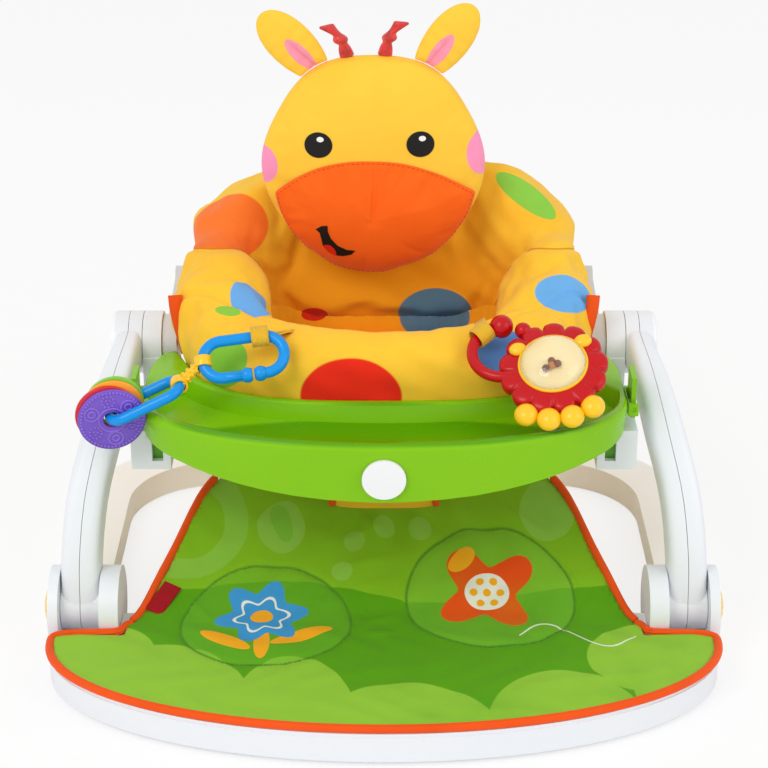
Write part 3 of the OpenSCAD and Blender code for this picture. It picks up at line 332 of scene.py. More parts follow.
# %% [markdown]
# ## Moulded plastic
# Toy plastic is one colour all through, yet it never renders as one: it has a slightly cloudy body,
# faint orange-peel in the gloss and duller, handled patches. Three noises give that.


# %% Plastics
def plastic(name, code, gloss=0.3, peel=0.02, cloud=0.06, coat=0.0, shine=0.4, dark=None, well_shade=None):
    """Moulded plastic; the last argument is painted shade in a hollow: a darker colour and the place that it
    fills, on faces that look up.
    """
    f = Finish(name, Coat_Weight=coat, Coat_Roughness=0.08, Specular_IOR_Level=shine)
    shade = rgb(dark) if dark else rgb(code, 1 - cloud * 2.2)
    handled = f.noise(34, 4.0).step(0.48, 0.72)
    tone = f.mix(f.noise(9, 2.0).step(0.35, 0.75) * cloud * 6, rgb(code), shade)
    # Painted shade: upward faces inside the hollow turn the darker colour.
    if well_shade:
        facing_up = f.axis("Z", f.node("ShaderNodeTexCoord", {}, output="Normal")).step(0.2, 0.6)
        tone = f.mix(f.spot(*well_shade[1:], edge=0.08) * facing_up, tone, rgb(well_shade[0]))
    return f.set(Base_Color=tone, Roughness=gloss + handled * 0.08 + f.noise(260, 2.0) * 0.04,
                 Normal=f.bump(f.noise(420, 2.0) + f.noise(90, 1.0) * 0.6, peel))


# Painted shade in the tray's well: a darker green on its upward faces.
WELL_SHADE = ("5AA000", (0, -104, 214), (176, 43, 400))
white_plastic = plastic("white plastic", "EAEDF1", 0.34, 0.02, 0.02, dark="DCE3EA")
cap_plastic = plastic("white cap plastic", "F5F6F8", 0.26, 0.015, 0.02, dark="E6EAEF")
# The rear ring is white plastic; its cream tint is a painted warm bounce of light from the yellow cloth above
# it.
warm_bounce_plastic = plastic("white plastic with painted warm bounce", "FFFBF2", 0.4, 0.02, 0.03, dark="FFF4E4")
frame_grey = plastic("grey frame plastic", "CFD2D4", 0.45, 0.03, 0.05)
tray_green = plastic("tray green plastic", "86C60C", 0.2, 0.012, 0.05, 0.06, 0.18, "7CBC06", WELL_SHADE)
post_green = plastic("post green plastic", "5FA512", 0.3, 0.02, 0.05)
button_yellow = plastic("button yellow plastic", "FFCF3A", 0.25, 0.015, 0.04)
toy_red = plastic("toy red plastic", "C4040E", 0.24, 0.015, 0.05, 0.08, 0.25)
toy_yellow = plastic("toy yellow plastic", "FFC81E", 0.24, 0.02, 0.05, coat=0.1)
toy_blue = plastic("toy blue plastic", "0494E6", 0.22, 0.02, 0.05, 0.1, 0.25)
badge_white = plastic("badge white plastic", "F2F2F6", 0.14, 0.01, 0.01, coat=0.6)
print("plastics:", len(bpy.data.materials))

# %% [markdown]
# ## Steel and rubber
# The pins, screws and washers are turned steel with fine rings of brushing; the feet are matt rubber
# with a sandy grain.

# %% Steel and rubber
f = Finish("turned steel", Metallic=1.0)
brushed = f.noise(900, 1.0, where=f.node("ShaderNodeMapping", {}, f.place, None, None, (1, 0.05, 1)))
steel = f.set(Base_Color=f.mix(brushed, rgb("B9BEC4"), rgb("B9BEC4", 0.82)),
              Roughness=0.3 + brushed * 0.14, Normal=f.bump(brushed, 0.01))
f = Finish("powder coated steel", Coat_Weight=0.2)
sand = f.noise(1500, 2.0)
hoop_paint = f.set(Base_Color=f.mix(f.noise(12), rgb("DADDE0"), rgb("DADDE0", 0.93)),
                   Roughness=0.42 + sand * 0.12, Normal=f.bump(sand, 0.02))
rubber = plastic("foot rubber", "2B2B2D", 0.75, 0.06, 0.1)
print("metals ready")

# %% [markdown]
# ## Printed cloth
# The cover is a brushed polyester weave. Its spots are printed, so they belong in the material: each is
# an ellipsoid mask in the cloth's own space, which cuts the curved surface in a neat oval from every
# side. The weave is two crossing sine waves about a millimetre apart, and a slow noise paints fold shade.

# %% Cloth
HUB_Y, HUB_Z, ARM_RADIUS = 91, 221, 86.5  # the arms' cloth lies round the upper hubs


def cloth(name, code, shade, spots=(), pitch=0.9, rough=0.8, thread=0.04, limits=None, inner=None):
    """A woven cloth: spots are (colour code, centre, radii, turn, side), side being a key of limits; inner is
    painted shade, a deeper colour round a centre with radii.
    """
    f = Finish(name, True, Sheen_Weight=0.15, Sheen_Roughness=0.4, Specular_IOR_Level=0.2)
    x, y, z = (f.axis(letter) for letter in "XYZ")
    weave = f.grain(x + y * 0.31, z + y * 0.83, pitch)
    slub = f.noise(150, 3.0)
    folds = f.noise(14, 3.0, 0.55)
    # Painted shade: where the slow noise is high, the cloth darkens towards its shade colour, as in folds.
    colour = f.mix(folds.step(0.40, 0.80) * 0.45, rgb(code), rgb(shade))
    masks = limits(f) if limits else {}
    # Painted shade: the cloth turns a deeper colour round the inner centre, where shade falls.
    if inner:
        colour = f.mix(f.spot(*inner[1:], edge=0.45) * 0.85, colour, rgb(inner[0]))
    for spot_code, centre, radii, turn, side in spots:
        mask = f.spot(centre, radii, turn)
        if side in masks:
            mask = mask * masks[side]
        # Spots darken in the same painted fold shade.
        tone = f.mix(folds.step(0.42, 0.78) * 0.8, rgb(spot_code), rgb(spot_code, 0.88))
        colour = f.mix(mask, colour, tone)
    if "seam" in masks:
        colour = f.mix(masks["seam"] * 0.75, colour, rgb("C9760C"))
    colour = f.mix((weave + slub).step(0.2, 1.7) * thread * 3, colour, rgb(shade, 0.5))
    rumple = f.bump(folds + f.noise(45, 2.0) * 0.25, 1.6, 0.6)
    return f.set(Base_Color=colour, Roughness=rough + slub * 0.1 - 0.05,
                 Normal=f.bump(weave * 0.5 + slub * 1.2, 0.09, 0.7, rumple))


def shoulder_side(f):
    """1 on the shoulders, where the cloth lies outside the arms' circle round the upper hubs."""
    far = f.length(f.around((0, HUB_Y * MM, HUB_Z * MM), None, (1e3, 1, 1)))
    outside = far.step(0.0862, 0.0868)
    wide = f.axis("X").one("ABSOLUTE").step(0.092, 0.098)
    thread = far.step(0.0855, 0.0861) * far.step(0.0874, 0.0868) * wide * f.axis("Y").step(0.086, 0.09)
    return {"shoulder": outside, "sleeve": 1 - outside, "seam": thread}


seat_cloth = cloth("seat cloth", "FFC02E", "F5A01C")
muzzle_cloth = cloth("muzzle cloth", "FF6A14", "F45A08")
piping_cloth = cloth("piping cloth", "F4560E", "DE4400", pitch=1.2, rough=0.7)
CHEEKS = (("FF9AC6", (-112, 150, 374), (14, 60, 18), (0, 0, 0), ""),
          ("FF9AC6", (92, 150, 386), (16, 60, 21), (0, 0, 0), ""))
head_cloth = cloth("head cloth", "FFCE42", "FFBE30", CHEEKS)
print("cloths ready")

# %% [markdown]
# ## Rigid pieces carried over from CAD
# The plastic parts already have the right shape. Their CAD mesh is loose triangles, so a merged copy is
# shaded smooth up to an angle and gets a fine bevel: real mouldings have no knife edges, and the
# bevel's highlight is what makes them read as plastic. The tray has round edges already, so only its
# flat top is filled again.


# %% Dress the rigid nodes
def dress(piece, material, body=None, nodes=(), slot=None, fill=None, keep=None, anchor=0.0):
    """Gives a piece its material, its body and the CAD nodes it stands for; slot, fill and anchor are not
    used.
    With keep, it gets a mesh of its own."""
    piece.data.materials.clear()
    piece.data.materials.append(material)
    if body:
        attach(piece, body)
    if keep:
        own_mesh(piece)
    if nodes:
        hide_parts(*nodes)
    return piece


def node_mesh(name, *nodes):
    """One merged mesh from copies of CAD nodes."""
    def gather(work):
        for node in nodes:
            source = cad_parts[node]
            copy = source.data.copy()
            copy.transform(source.matrix_world)
            work.from_mesh(copy)
            bpy.data.meshes.remove(copy)
        bmesh.ops.remove_doubles(work, verts=work.verts, dist=0.02 * MM)
        bmesh.ops.dissolve_degenerate(work, edges=work.edges, dist=0.02 * MM)

    return edit(add_object(name, bpy.data.meshes.new(name)), gather)


def smooth_by_angle(piece, degrees):
    piece.data.shade_smooth()
    piece.data.set_sharp_from_angle(angle=math.radians(degrees))


def round_edges(piece, width, segments, angle=30):
    modify(piece, ("BEVEL", {"width": width * MM, "segments": segments, "limit_method": "ANGLE",
                             "angle_limit": math.radians(angle), "use_clamp_overlap": True}))


def refill(piece, height):
    """Fills a flat top again from its outline, because thin triangles overlap there."""
    def change(work):
        flat = {f for f in work.faces if all(abs(v.co.z * 1000 - height) < 0.02 for v in f.verts)}
        outline = [e for e in work.edges if sum(f in flat for f in e.link_faces) == 1]
        print(piece.name, "refilled", len(flat), "flat faces")
        bmesh.ops.delete(work, geom=list(flat), context="FACES")
        for face in bmesh.ops.triangle_fill(work, use_beauty=True, edges=outline)["geom"]:
            if isinstance(face, bmesh.types.BMFace) and face.normal.z < 0:
                face.normal_flip()

    edit(piece, change)


def moulding(node, body, material, bevel, angle=34, flat=None):
    """A smooth, bevelled copy of a CAD node that stands for it."""
    piece = node_mesh(node + "_moulded", node)
    if flat:
        refill(piece, flat)
    smooth_by_angle(piece, angle)
    if bevel:
        round_edges(piece, bevel, 2, angle)
        smooth_by_angle(piece, 60)
    modify(piece, ("WEIGHTED_NORMAL", {"keep_sharp": True, "weight": 80}))
    dress(piece, material, body, [node])


TRAY_TOP = 228
SEAT_PARTS = [("base_plate", "base", white_plastic, 0.9), ("rear_ring", "base", warm_bounce_plastic, 0.9),
              ("ring_frame", "seat_ring", frame_grey, 0.8), ("tray_posts", "tray", post_green, 0.6),
              ("latch_lugs", "tray", tray_green, 0.4), ("tray", "tray", tray_green, 0.0, 28, TRAY_TOP),
              ("tray_badge", "tray", badge_white, 0.5)]
SIDE_PARTS = [("leg_outer_shell", "leg_{}", white_plastic, 0.8),
              ("leg_inner_shell", "leg_{}", white_plastic, 0.8), ("leg_cap", "leg_{}", cap_plastic, 0.9),
              ("hub_housing", "base", white_plastic, 1.2), ("side_frame", "seat_ring", white_plastic, 1.0),
              ("fold_button", "fold_button_{}", button_yellow, 0.6),
              ("latch_tab", "latch_tab_{}", tray_green, 0.9)]
for side in ("left", "right"):
    for node, body, *rest in SIDE_PARTS:
        moulding(f"{node}_{side}", body.format(side), *rest)
for part in SEAT_PARTS:
    moulding(*part)
KEPT = {"back_frame": hoop_paint, "rubber_feet": rubber, "lower_pins": steel, "upper_pins": steel,
        "housing_screws": steel, "frame_screws": steel, "spring_washers": steel}
for node, material in KEPT.items():  # these CAD nodes stay as they are, with a better material
    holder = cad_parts[node]
    if not holder.material_slots:
        holder.data.materials.append(material)
    for slot in holder.material_slots:
        slot.material = material
print("rigid pieces dressed")

# %% [markdown]
# ## Stuffing by cloth simulation
# A sewn cushion gets its look from two things: cloth that is a little too large, and seams that hold it
# down. So each soft piece is inflated for twenty frames with its seam points held still. The cloth grows
# by a few per cent, which makes it pucker along the seams. A cap keeps each point near its place.


# %% Stuffing
def mesh_values(mesh, field="co"):
    values = np.empty(len(mesh.vertices) * 3)
    mesh.vertices.foreach_get(field, values)
    return values.reshape(-1, 3)


def mesh_points(piece):
    return mesh_values(piece.data) * 1000


def set_points(piece, points):
    piece.data.vertices.foreach_set("co", (np.asarray(points) * MM).ravel())
    piece.data.update()


def push(piece, amounts):
    """Moves each point along its normal, by one amount or by its own one, in millimetres."""
    amounts = np.broadcast_to(amounts, len(piece.data.vertices))
    set_points(piece, mesh_points(piece) + mesh_values(piece.data, "normal") * amounts[:, None])


def surface(piece):
    """A search tree over a piece's faces."""
    bpy.context.view_layer.update()
    return BVHTree.FromObject(piece, bpy.context.evaluated_depsgraph_get())


def groove(distance, width, depth):
    return -depth * np.exp(-(np.asarray(distance) / width) ** 2)


FRAMES, PRESSURE = 20, 4.0


def stuff(piece, held, cap, grow):
    """Inflates a piece as cloth; held(points) tells which points are sewn down."""
    start = mesh_points(piece)
    step = piece.modifiers.new("stuffing", "CLOTH")
    settings = step.settings
    settings.quality, settings.mass = 5, 0.3
    settings.tension_stiffness = settings.compression_stiffness = 12
    settings.bending_stiffness = 0.5
    settings.use_pressure, settings.uniform_pressure_force = True, PRESSURE
    settings.effector_weights.gravity = 0
    settings.shrink_min = -grow
    step.collision_settings.use_collision = False
    sewn = piece.vertex_groups.new(name="sewn")
    sewn.add([int(i) for i in np.flatnonzero(held(start))], 1.0, "REPLACE")
    settings.vertex_group_mass = "sewn"
    step.point_cache.frame_end = FRAMES
    for number in range(1, FRAMES + 1):
        bpy.context.scene.frame_set(number)
    result = piece.evaluated_get(bpy.context.evaluated_depsgraph_get())
    moved = mesh_values(result.data) * 1000 - start
    length = np.linalg.norm(moved, axis=1, keepdims=True) + 1e-9
    piece.modifiers.clear()
    piece.vertex_groups.clear()
    set_points(piece, start + moved * np.minimum(1, cap / length))
    bpy.context.scene.frame_set(1)
    print(piece.name, "moved by up to", round(float(min(cap, length.max())), 1), "mm")


# %% [markdown]
# ## The padded cover
# Front bumper, arms and back pad are one sewn cover on the real seat. The CAD keeps them apart so that
# the backrest can fold. Here copies of the four solids are swollen, fused by a voxel remesh and shrunk
# again, which closes the narrow gaps between them just as the cloth does. Grooves then mark the seams
# between shoulder and sleeve and between sleeve and bumper.


# %% Cover
def ellipsoid_rows(centre, radii, turn=0.0, columns=24, count=13, place=None):
    """Rows round an ellipsoid that is turned about y; place maps them elsewhere."""
    c, s = math.cos(math.radians(turn)), math.sin(math.radians(turn))
    rows = []
    for b in np.linspace(math.pi, 0, count + 2)[1:-1]:
        row = []
        for a in circle(columns):
            x, y, z = (radii[0] * math.sin(b) * math.cos(a), radii[1] * math.sin(b) * math.sin(a),
                       radii[2] * math.cos(b))
            p = np.array(centre, float) + [x * c + z * s, y, -x * s + z * c]
            row.append(place(*p) if place else p)
        rows.append(row)
    return rows


def fused(name, nodes, swell, voxel, relax, lumps):
    """One closed skin over several CAD solids, and over extra lumps of stuffing."""
    def add_lumps(work):
        for lump in lumps:
            extra = loft("lump", ellipsoid_rows(*lump))
            work.from_mesh(extra.data)
            bpy.data.objects.remove(extra)

    skin = ("REMESH", {"mode": "VOXEL", "voxel_size": voxel * MM})
    out, back = (("DISPLACE", {"strength": way * swell * MM, "mid_level": 0.0}) for way in (1, -1))
    piece = edit(node_mesh(name, *nodes), add_lumps)
    modify(piece, skin, out, skin, back, skin, ("SMOOTH", {"factor": 0.5, "iterations": relax}))
    piece.data.shade_smooth()
    return piece


def hub_distance(p):
    return np.hypot(p[:, 1] - HUB_Y, p[:, 2] - HUB_Z) - ARM_RADIUS


def sleeve_distance(p):
    """Distance from the upright seam that parts the sleeve from the bumper."""
    return 0.462 * (190 - np.abs(p[:, 0])) + 0.887 * (p[:, 1] - 61)


def ramp(values, low, high):
    """0 below low, 1 above high, smooth between."""
    f = np.clip((values - low) / (high - low), 0, 1)
    return f * f * (3 - 2 * f)


def cover_seams(p, width):
    wide = ramp(np.abs(p[:, 0]), 84, 104)
    return np.maximum(wide * np.exp(-(hub_distance(p) / width) ** 2) * (p[:, 1] > 84),
                      ramp(np.abs(p[:, 0]), 78, 92) * np.exp(-(sleeve_distance(p) / width) ** 2))


LUMPS = [((side * 156, 126, 276), (31, 42, 34), side * 20) for side in (-1, 1)]
LUMPS += [((side * 160, 80, 258), (33, 52, 38), side * -8) for side in (-1, 1)]
SHOULDER = {-1: [(100, 352), (109, 344), (135, 337), (159, 322), (179, 308), (191, 299)],
            1: [(96, 366), (108, 362), (123, 354), (152, 333), (174, 311), (184, 298)]}
COVER_NODES = ["bumper", "arm_pad_left", "arm_pad_right", "back_pad"]
cover = fused("seat_cover", COVER_NODES, 15, 5, 10, LUMPS)
stuff(cover, lambda p: (cover_seams(p, 3.0) > 0.5) | (p[:, 2] < 197), 5, 0.05)
p = mesh_points(cover)
for side, line in SHOULDER.items():
    limit = np.interp(side * p[:, 0], *zip(*line))
    over = (p[:, 2] - limit).clip(0) * ramp(side * p[:, 0], 88, 100)
    p[:, 2] -= over * 0.8
set_points(cover, p)
modify(cover, ("SMOOTH", {"factor": 0.5, "iterations": 3}))
subdivide(cover)
p = mesh_points(cover)
x, y, z = p.T
waves = np.sin(x * 0.11 + z * 0.17 + 2.2 * np.sin(y * 0.045))
waves *= np.sin(y * 0.12 - z * 0.06 + 1.7 * np.sin(x * 0.03))
sleeve = ramp(np.abs(x), 100, 125) * (hub_distance(p) < 0)
wrinkle = np.sin(hub_distance(p) * 0.21 + 1.4 * np.sin(x * 0.06) + np.arctan2(z - HUB_Z, y - HUB_Y) * 2)
push(cover, -2.6 * cover_seams(p, 2.4) + 0.9 * waves + 1.0 * sleeve * wrinkle)


def camera_ray(u, v):
    """Direction from the camera through a pixel of the photograph."""
    ahead, up = np.array([0, math.cos(TILT), -math.sin(TILT)]), np.array([0, math.sin(TILT), math.cos(TILT)])
    way = ahead + np.array([1, 0, 0]) * (u - FRAME_MIDDLE) / FOCAL + up * (FRAME_MIDDLE - v) / FOCAL
    return Vector(way / np.linalg.norm(way))


def seen_on(piece, u, v, nearer=10.0):
    """The place on a piece behind a pixel of the photograph, or just below that pixel."""
    tree = surface(piece)
    for drop in range(0, 60, 2):
        hit, normal, _, _ = tree.ray_cast(Vector(EYE), camera_ray(u, v + drop))
        if hit is not None and hit.y < nearer:
            return np.array(hit) * 1000, np.array(normal)


def spot_seen(code, pixel, half, turn=0, side="", deep=34):
    """A cloth spot as the photograph shows it: an ellipsoid turned to face the camera."""
    hit, _ = seen_on(cover, *pixel)
    scale = np.linalg.norm(hit / 1000 - EYE) / FOCAL * 1000
    way = Matrix.Rotation(-TILT, 3, "X") @ Matrix.Rotation(math.radians(turn), 3, "Y")
    angles = tuple(math.degrees(a) for a in way.to_euler("XYZ"))
    return code, tuple(hit), (half[0] * scale, deep, half[1] * scale), angles, side


SPOTS_SEEN = [spot_seen(*seen) for seen in (
    ("F2220F", (351, 397), (51, 40)), ("86C93A", (220, 362), (30, 26)), ("5B93DA", (505, 352), (31, 29)),
    ("6AAEEE", (253, 297), (23, 32), 8, "sleeve", 26), ("FF7A2A", (222, 226), (47, 36), -6, "shoulder", 60),
    ("8CCB42", (228, 311), (13, 5), 8), ("8ED44C", (526, 195), (37, 12), 38, "shoulder", 60),
    ("6AB4F0", (566, 293), (31, 21), 4, "", 40), ("5585A8", (435, 314), (37, 27)),
    ("E02A18", (314, 315), (14, 7)))]
# The deeper orange inside the seat, behind the bumper and below the head, is painted shade.
cover_cloth = cloth("cover cloth", "FFCB38", "FBAF26", SPOTS_SEEN, limits=shoulder_side,
                    inner=("FFA612", (0, 190, 205), (128, 96, 96)))
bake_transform(cover)
dress(cover, cover_cloth, None, COVER_NODES, "seat_cloth", 0.7)
print("cover has", len(cover.data.vertices), "points")

# %% [markdown]
# ## The head pillow
# The head is a flat round pillow with a seam round its edge. Its rim is a smooth curve through twelve
# radii, and its thickness falls off as a rounded power of the way to the rim, so the seam lies in a
# slight valley between front and back.

# %% Head
HEAD = [1.01, 0.985, 1.03, 1.0, 1.03, 0.985, 1.01, 0.98, 0.96, 0.97, 0.96, 0.98]
HEAD_AT = np.array([-10.0, 160.0, 372.0])
HEAD_R, HEAD_T, HEAD_POWER, MUZZLE_DROP = 103.0, 26.0, 2.4, 42.0


def bulge(share, power):
    return max(0.0, 1 - share ** power) ** (1 / power)


def head_rim(degrees):
    return HEAD_R * curve_round(HEAD, degrees)


def head_share(x, y):
    """0 in the middle of the head, 1 on its rim."""
    return math.hypot(x, y) / head_rim(math.degrees(math.atan2(y, x)))


def at_head(x, y, z):
    """From the head's own plane (x across, y up, z forwards) to the seat's space."""
    return HEAD_AT + np.array([x, -z, y])


def in_head(p):
    """The other way round, for many points."""
    q = p - HEAD_AT
    return q[:, 0], q[:, 2], -q[:, 1]


def pillow(name, rim, front, back, power, place, segments=120, rings=20):
    """A sewn pillow; rim(degrees) is its outline, place maps its plane into the seat's space."""
    shares = [math.sin(math.pi / 2 * (k + 1) / rings) for k in range(rings)]
    levels = [(s, -back) for s in shares] + [(s, front) for s in shares[:-1][::-1]]
    outline = [np.asarray(rim(360 * k / segments), float) for k in range(segments)]
    return loft(name, [[place(*(p * s), high * bulge(s, power)) for p in outline] for s, high in levels])


head = pillow("head_pillow", lambda a: polar(head_rim(a), a), HEAD_T - 3, HEAD_T - 3, HEAD_POWER, at_head)
stuff(head, lambda p: np.array([head_share(a, b) for a, b in zip(*in_head(p)[:2])]) > 0.985, 5, 0.02)
subdivide(head)
dress(head, head_cloth, "backrest", ["head"], "seat_cloth", 0.8)
print("head pillow", [round(v * 1000) for v in head.dimensions])

# %% [markdown]
# ## The muzzle
# The muzzle is a second pillow laid on the face. Its back follows the face, so the two never cut
# through each other. Its seam is held while it is stuffed, and puckers like the real one.


# %% Muzzle
def outline_radius(*arcs):
    """Radius by angle round the muzzle's middle, for smooth arcs that meet in corners."""
    x, y = np.concatenate([smooth_path(arc, 80) for arc in arcs]).T
    y = y + MUZZLE_DROP
    angle, far = np.degrees(np.arctan2(y, x)) % 360, np.hypot(x, y)
    order = np.argsort(angle)
    return lambda degrees: np.interp(np.asarray(degrees) % 360, angle[order], far[order], period=360)


muzzle_rim = outline_radius(
    [(96.0, -22), (79, -11.5), (57, -0.5), (28, 8.5), (-3, 11), (-28, 9.5), (-52, 3.5), (-75, -8.5),
     (-92, -22)],
    [(-92, -22), (-86, -44), (-71.5, -69.5), (-44, -94), (-1.3, -105), (41, -95), (69, -76), (88, -47),
     (96.0, -22)])


def muzzle_point(s, degrees, out):
    """A point at share s of the way to the seam; out is 1 on the front and 0 on the back."""
    x, y = polar(s * float(muzzle_rim(degrees)), degrees)
    y -= MUZZLE_DROP
    share = min(1, head_share(x, y))
    face = HEAD_T * bulge(share, HEAD_POWER)
    return at_head(x, y, face + (1.2 + 3.4 * share ** 5 + out * 14 * bulge(s, 2.0)))


def muzzle_share(p):
    x, y, _ = in_head(p)
    y = y + MUZZLE_DROP
    return np.hypot(x, y) / muzzle_rim(np.degrees(np.arctan2(y, x)))


BACK_ROWS = [(s, 0) for s in (0.25, 0.45, 0.62, 0.76, 0.86, 0.93, 0.975, 1.0)]
FRONT_ROWS = [(s, 1) for s in (0.99, 0.965, 0.93, 0.88, 0.81, 0.72, 0.62, 0.51, 0.4, 0.29, 0.18, 0.09)]
muzzle = loft("muzzle_pillow", [[muzzle_point(s, 2.4 * k, out) for k in range(150)]
                                for s, out in BACK_ROWS + FRONT_ROWS])
stuff(muzzle, lambda p: muzzle_share(p) > 0.97, 3.5, 0.03)
subdivide(muzzle)
dress(muzzle, muzzle_cloth, "backrest", ["muzzle"], "muzzle_cloth", 0.7)
print("muzzle pillow", [round(v * 1000) for v in muzzle.dimensions])

# %% [markdown]
# ## Printed eyes and smile
# The face is printed on the cloth. Each shape is a flat outline that is filled with small triangles and
# then dropped onto the finished pillow from the front, so it follows every bulge.


# %% Face print
def ink(name, code):
    f = Finish(name, Specular_IOR_Level=0.3)
    weave = f.noise(900, 2.0)
    tone = f.mix(weave.step(0.4, 0.7) * 0.5, rgb(code), tuple(c + 0.003 for c in rgb(code, 0.8)))
    return f.set(Base_Color=tone, Roughness=0.5 + weave * 0.15, Normal=f.bump(weave, 0.04))


def filled(outline, inner):
    """Fills an outline with triangles through the inner points too."""
    border = [list(range(len(outline)))]
    points, _, faces, *_ = delaunay_2d_cdt([Vector(p) for p in outline + inner], [], border, 1, 1e-5)
    return points, [tuple(f) for f in faces]


def printed(name, outline, on, lift, material, step=2.5):
    """A printed patch: its outline is in the head's plane, and it lies on another piece."""
    across, up = (np.arange(min(v) + step / 2, max(v), step) for v in zip(*outline))
    points, faces = filled(outline, [(x, y) for x in across for y in up])
    tree, placed = surface(on), []
    for p in points:
        hit, normal, _, _ = tree.ray_cast(Vector(at_head(p[0], p[1], 120)) * MM, Vector((0, 1, 0)))
        placed.append((hit + normal * lift * MM) * 1000)

    def forwards(work):
        for face in work.faces:
            if face.normal.y > 0:
                face.normal_flip()

    dress(edit(add_mesh(name, placed, faces), forwards), material, "backrest")


def oval(centre, radii, count=40, turn=0):
    c, s = math.cos(math.radians(turn)), math.sin(math.radians(turn))
    ring = [(radii[0] * math.cos(a), radii[1] * math.sin(a)) for a in circle(count)]
    return [(centre[0] + u * c - v * s, centre[1] + u * s + v * c) for u, v in ring]


black_ink, white_ink = ink("black ink", "0B0708"), ink("white ink", "F6F6F6")
for side, x, y in (("left", -50.0, 25.3), ("right", 43.3, 26.4)):
    printed(f"eye_{side}", oval((x, y), (12.8, 12.0)), head, 0.5, black_ink)
    printed(f"eye_shine_{side}", oval((x + 1.7, y + 5.4), (3.3, 2.5), 20), head, 0.8, white_ink, 1.5)
SMILE = [(-53.2, -52.3), (-47.6, -48.2), (-42.1, -47.5), (-41.8, -53.6), (-39.0, -61.1), (-32.8, -68.2),
         (-24.5, -72.2), (-16.5, -72.8), (-20.5, -77.3), (-27.6, -79.6), (-34.7, -79.6), (-41.5, -76.3),
         (-46.7, -69.8), (-48.0, -62.1), (-49.5, -55.3)]
TONGUE = [(-46.2, -69.6), (-44.3, -67.8), (-39.9, -67.8), (-36.2, -71.2), (-34.4, -75.5), (-34.0, -79.2),
          (-41.3, -76.0)]
printed("smile", SMILE[::-1], muzzle, 0.5, black_ink, 2.0)
printed("tongue", TONGUE[::-1], muzzle, 0.8, ink("red ink", "E8220F"), 2.0)
print("face printed")

# %% [markdown]
# ## Ears and ribbon horns
# Each ear is a thin pillow with a crease along its middle and a printed pink oval round the crease. The
# horns are knotted satin ribbons: their CAD shape is subdivided, and gets a sheen and fine lengthwise
# ribs.


# %% Ears and horns
def ear(side, direction, tilt):
    """An ear that stands out from the head at a direction from straight up, turned by a tilt."""
    cx, cy = polar(head_rim(90 + direction) + 0.32 * 84, 90 + direction)
    c, s = math.cos(math.radians(tilt)), math.sin(math.radians(tilt))

    def rim(a):
        across, up = polar(1, a)
        x, y = 20.5 * across * (1 + 0.1 * up), 42 * up
        px, py = cx + x * c - y * s, cy + x * s + y * c
        edge = head_rim(math.degrees(math.atan2(py, px))) + 0.8
        length = math.hypot(px, py)
        if length < edge:
            px, py = px * edge / length, py * edge / length
        return px - cx, py - cy

    name = f"ear_pillow_{side}"
    piece = pillow(name, rim, 6.5, 6.5, 2.2, lambda x, y, z: at_head(cx + x, cy + y, z), 72, 12)
    x, y, depth = in_head(mesh_points(piece))
    across = (x - cx) * c + (y - cy) * s
    along = -(x - cx) * s + (y - cy) * c
    front = ramp(depth, 0, 2)
    push(piece, groove(across, 2.2, 2.6) * ramp(-along, -12, 2) * front + 0.35 * np.sin(along * 0.5) * front)
    subdivide(piece)
    pink = ("FF9CB4", tuple(at_head(cx + 9 * s, cy - 9 * c, 0)), (7.2, 60, 19), (0, -tilt, 0), "")
    dress(piece, cloth(name + " cloth", "FFCE42", "FFBE30", [pink]), "backrest", [f"ear_{side}"],
          "seat_cloth", 0.4)


def swollen(node, name, material, levels, grow, **rest):
    """A smooth, slightly fuller copy of a CAD node."""
    piece = subdivide(node_mesh(name, node), levels)
    push(piece, grow)
    return dress(piece, material, nodes=[node], **rest)


ear("left", 33, 45)
ear("right", -30, -37)
f = Finish("satin ribbon", Sheen_Weight=0.3, Anisotropic=0.5, Coat_Weight=0.25)
rib = ((f.axis("X") + f.axis("Z") * 0.4) * (WHOLE_TURN / (1.1 * MM))).one("SINE")
crush = f.noise(120, 2.0)
satin = f.set(Base_Color=f.mix(crush.step(0.35, 0.7), rgb("E8200E"), rgb("B80C06")),
              Roughness=0.32 + crush * 0.2, Normal=f.bump(crush * 3 + rib * 0.25, 0.7, 0.8))
swollen("horns", "ribbon_horns", satin, 2, 1.1, body="backrest")
print("ears and horns made")

# %% [markdown]
# ## Stitches and bumps by Geometry Nodes
# A row of stitches is one small thing repeated along a line, which is what Geometry Nodes are for. The
# node group takes a line of edges, sets beads along it at a fixed pitch, turns each along the line and
# gives it a slightly different length. The same group makes the strap's round bumps. It is baked to a
# plain mesh, because the export wants meshes.


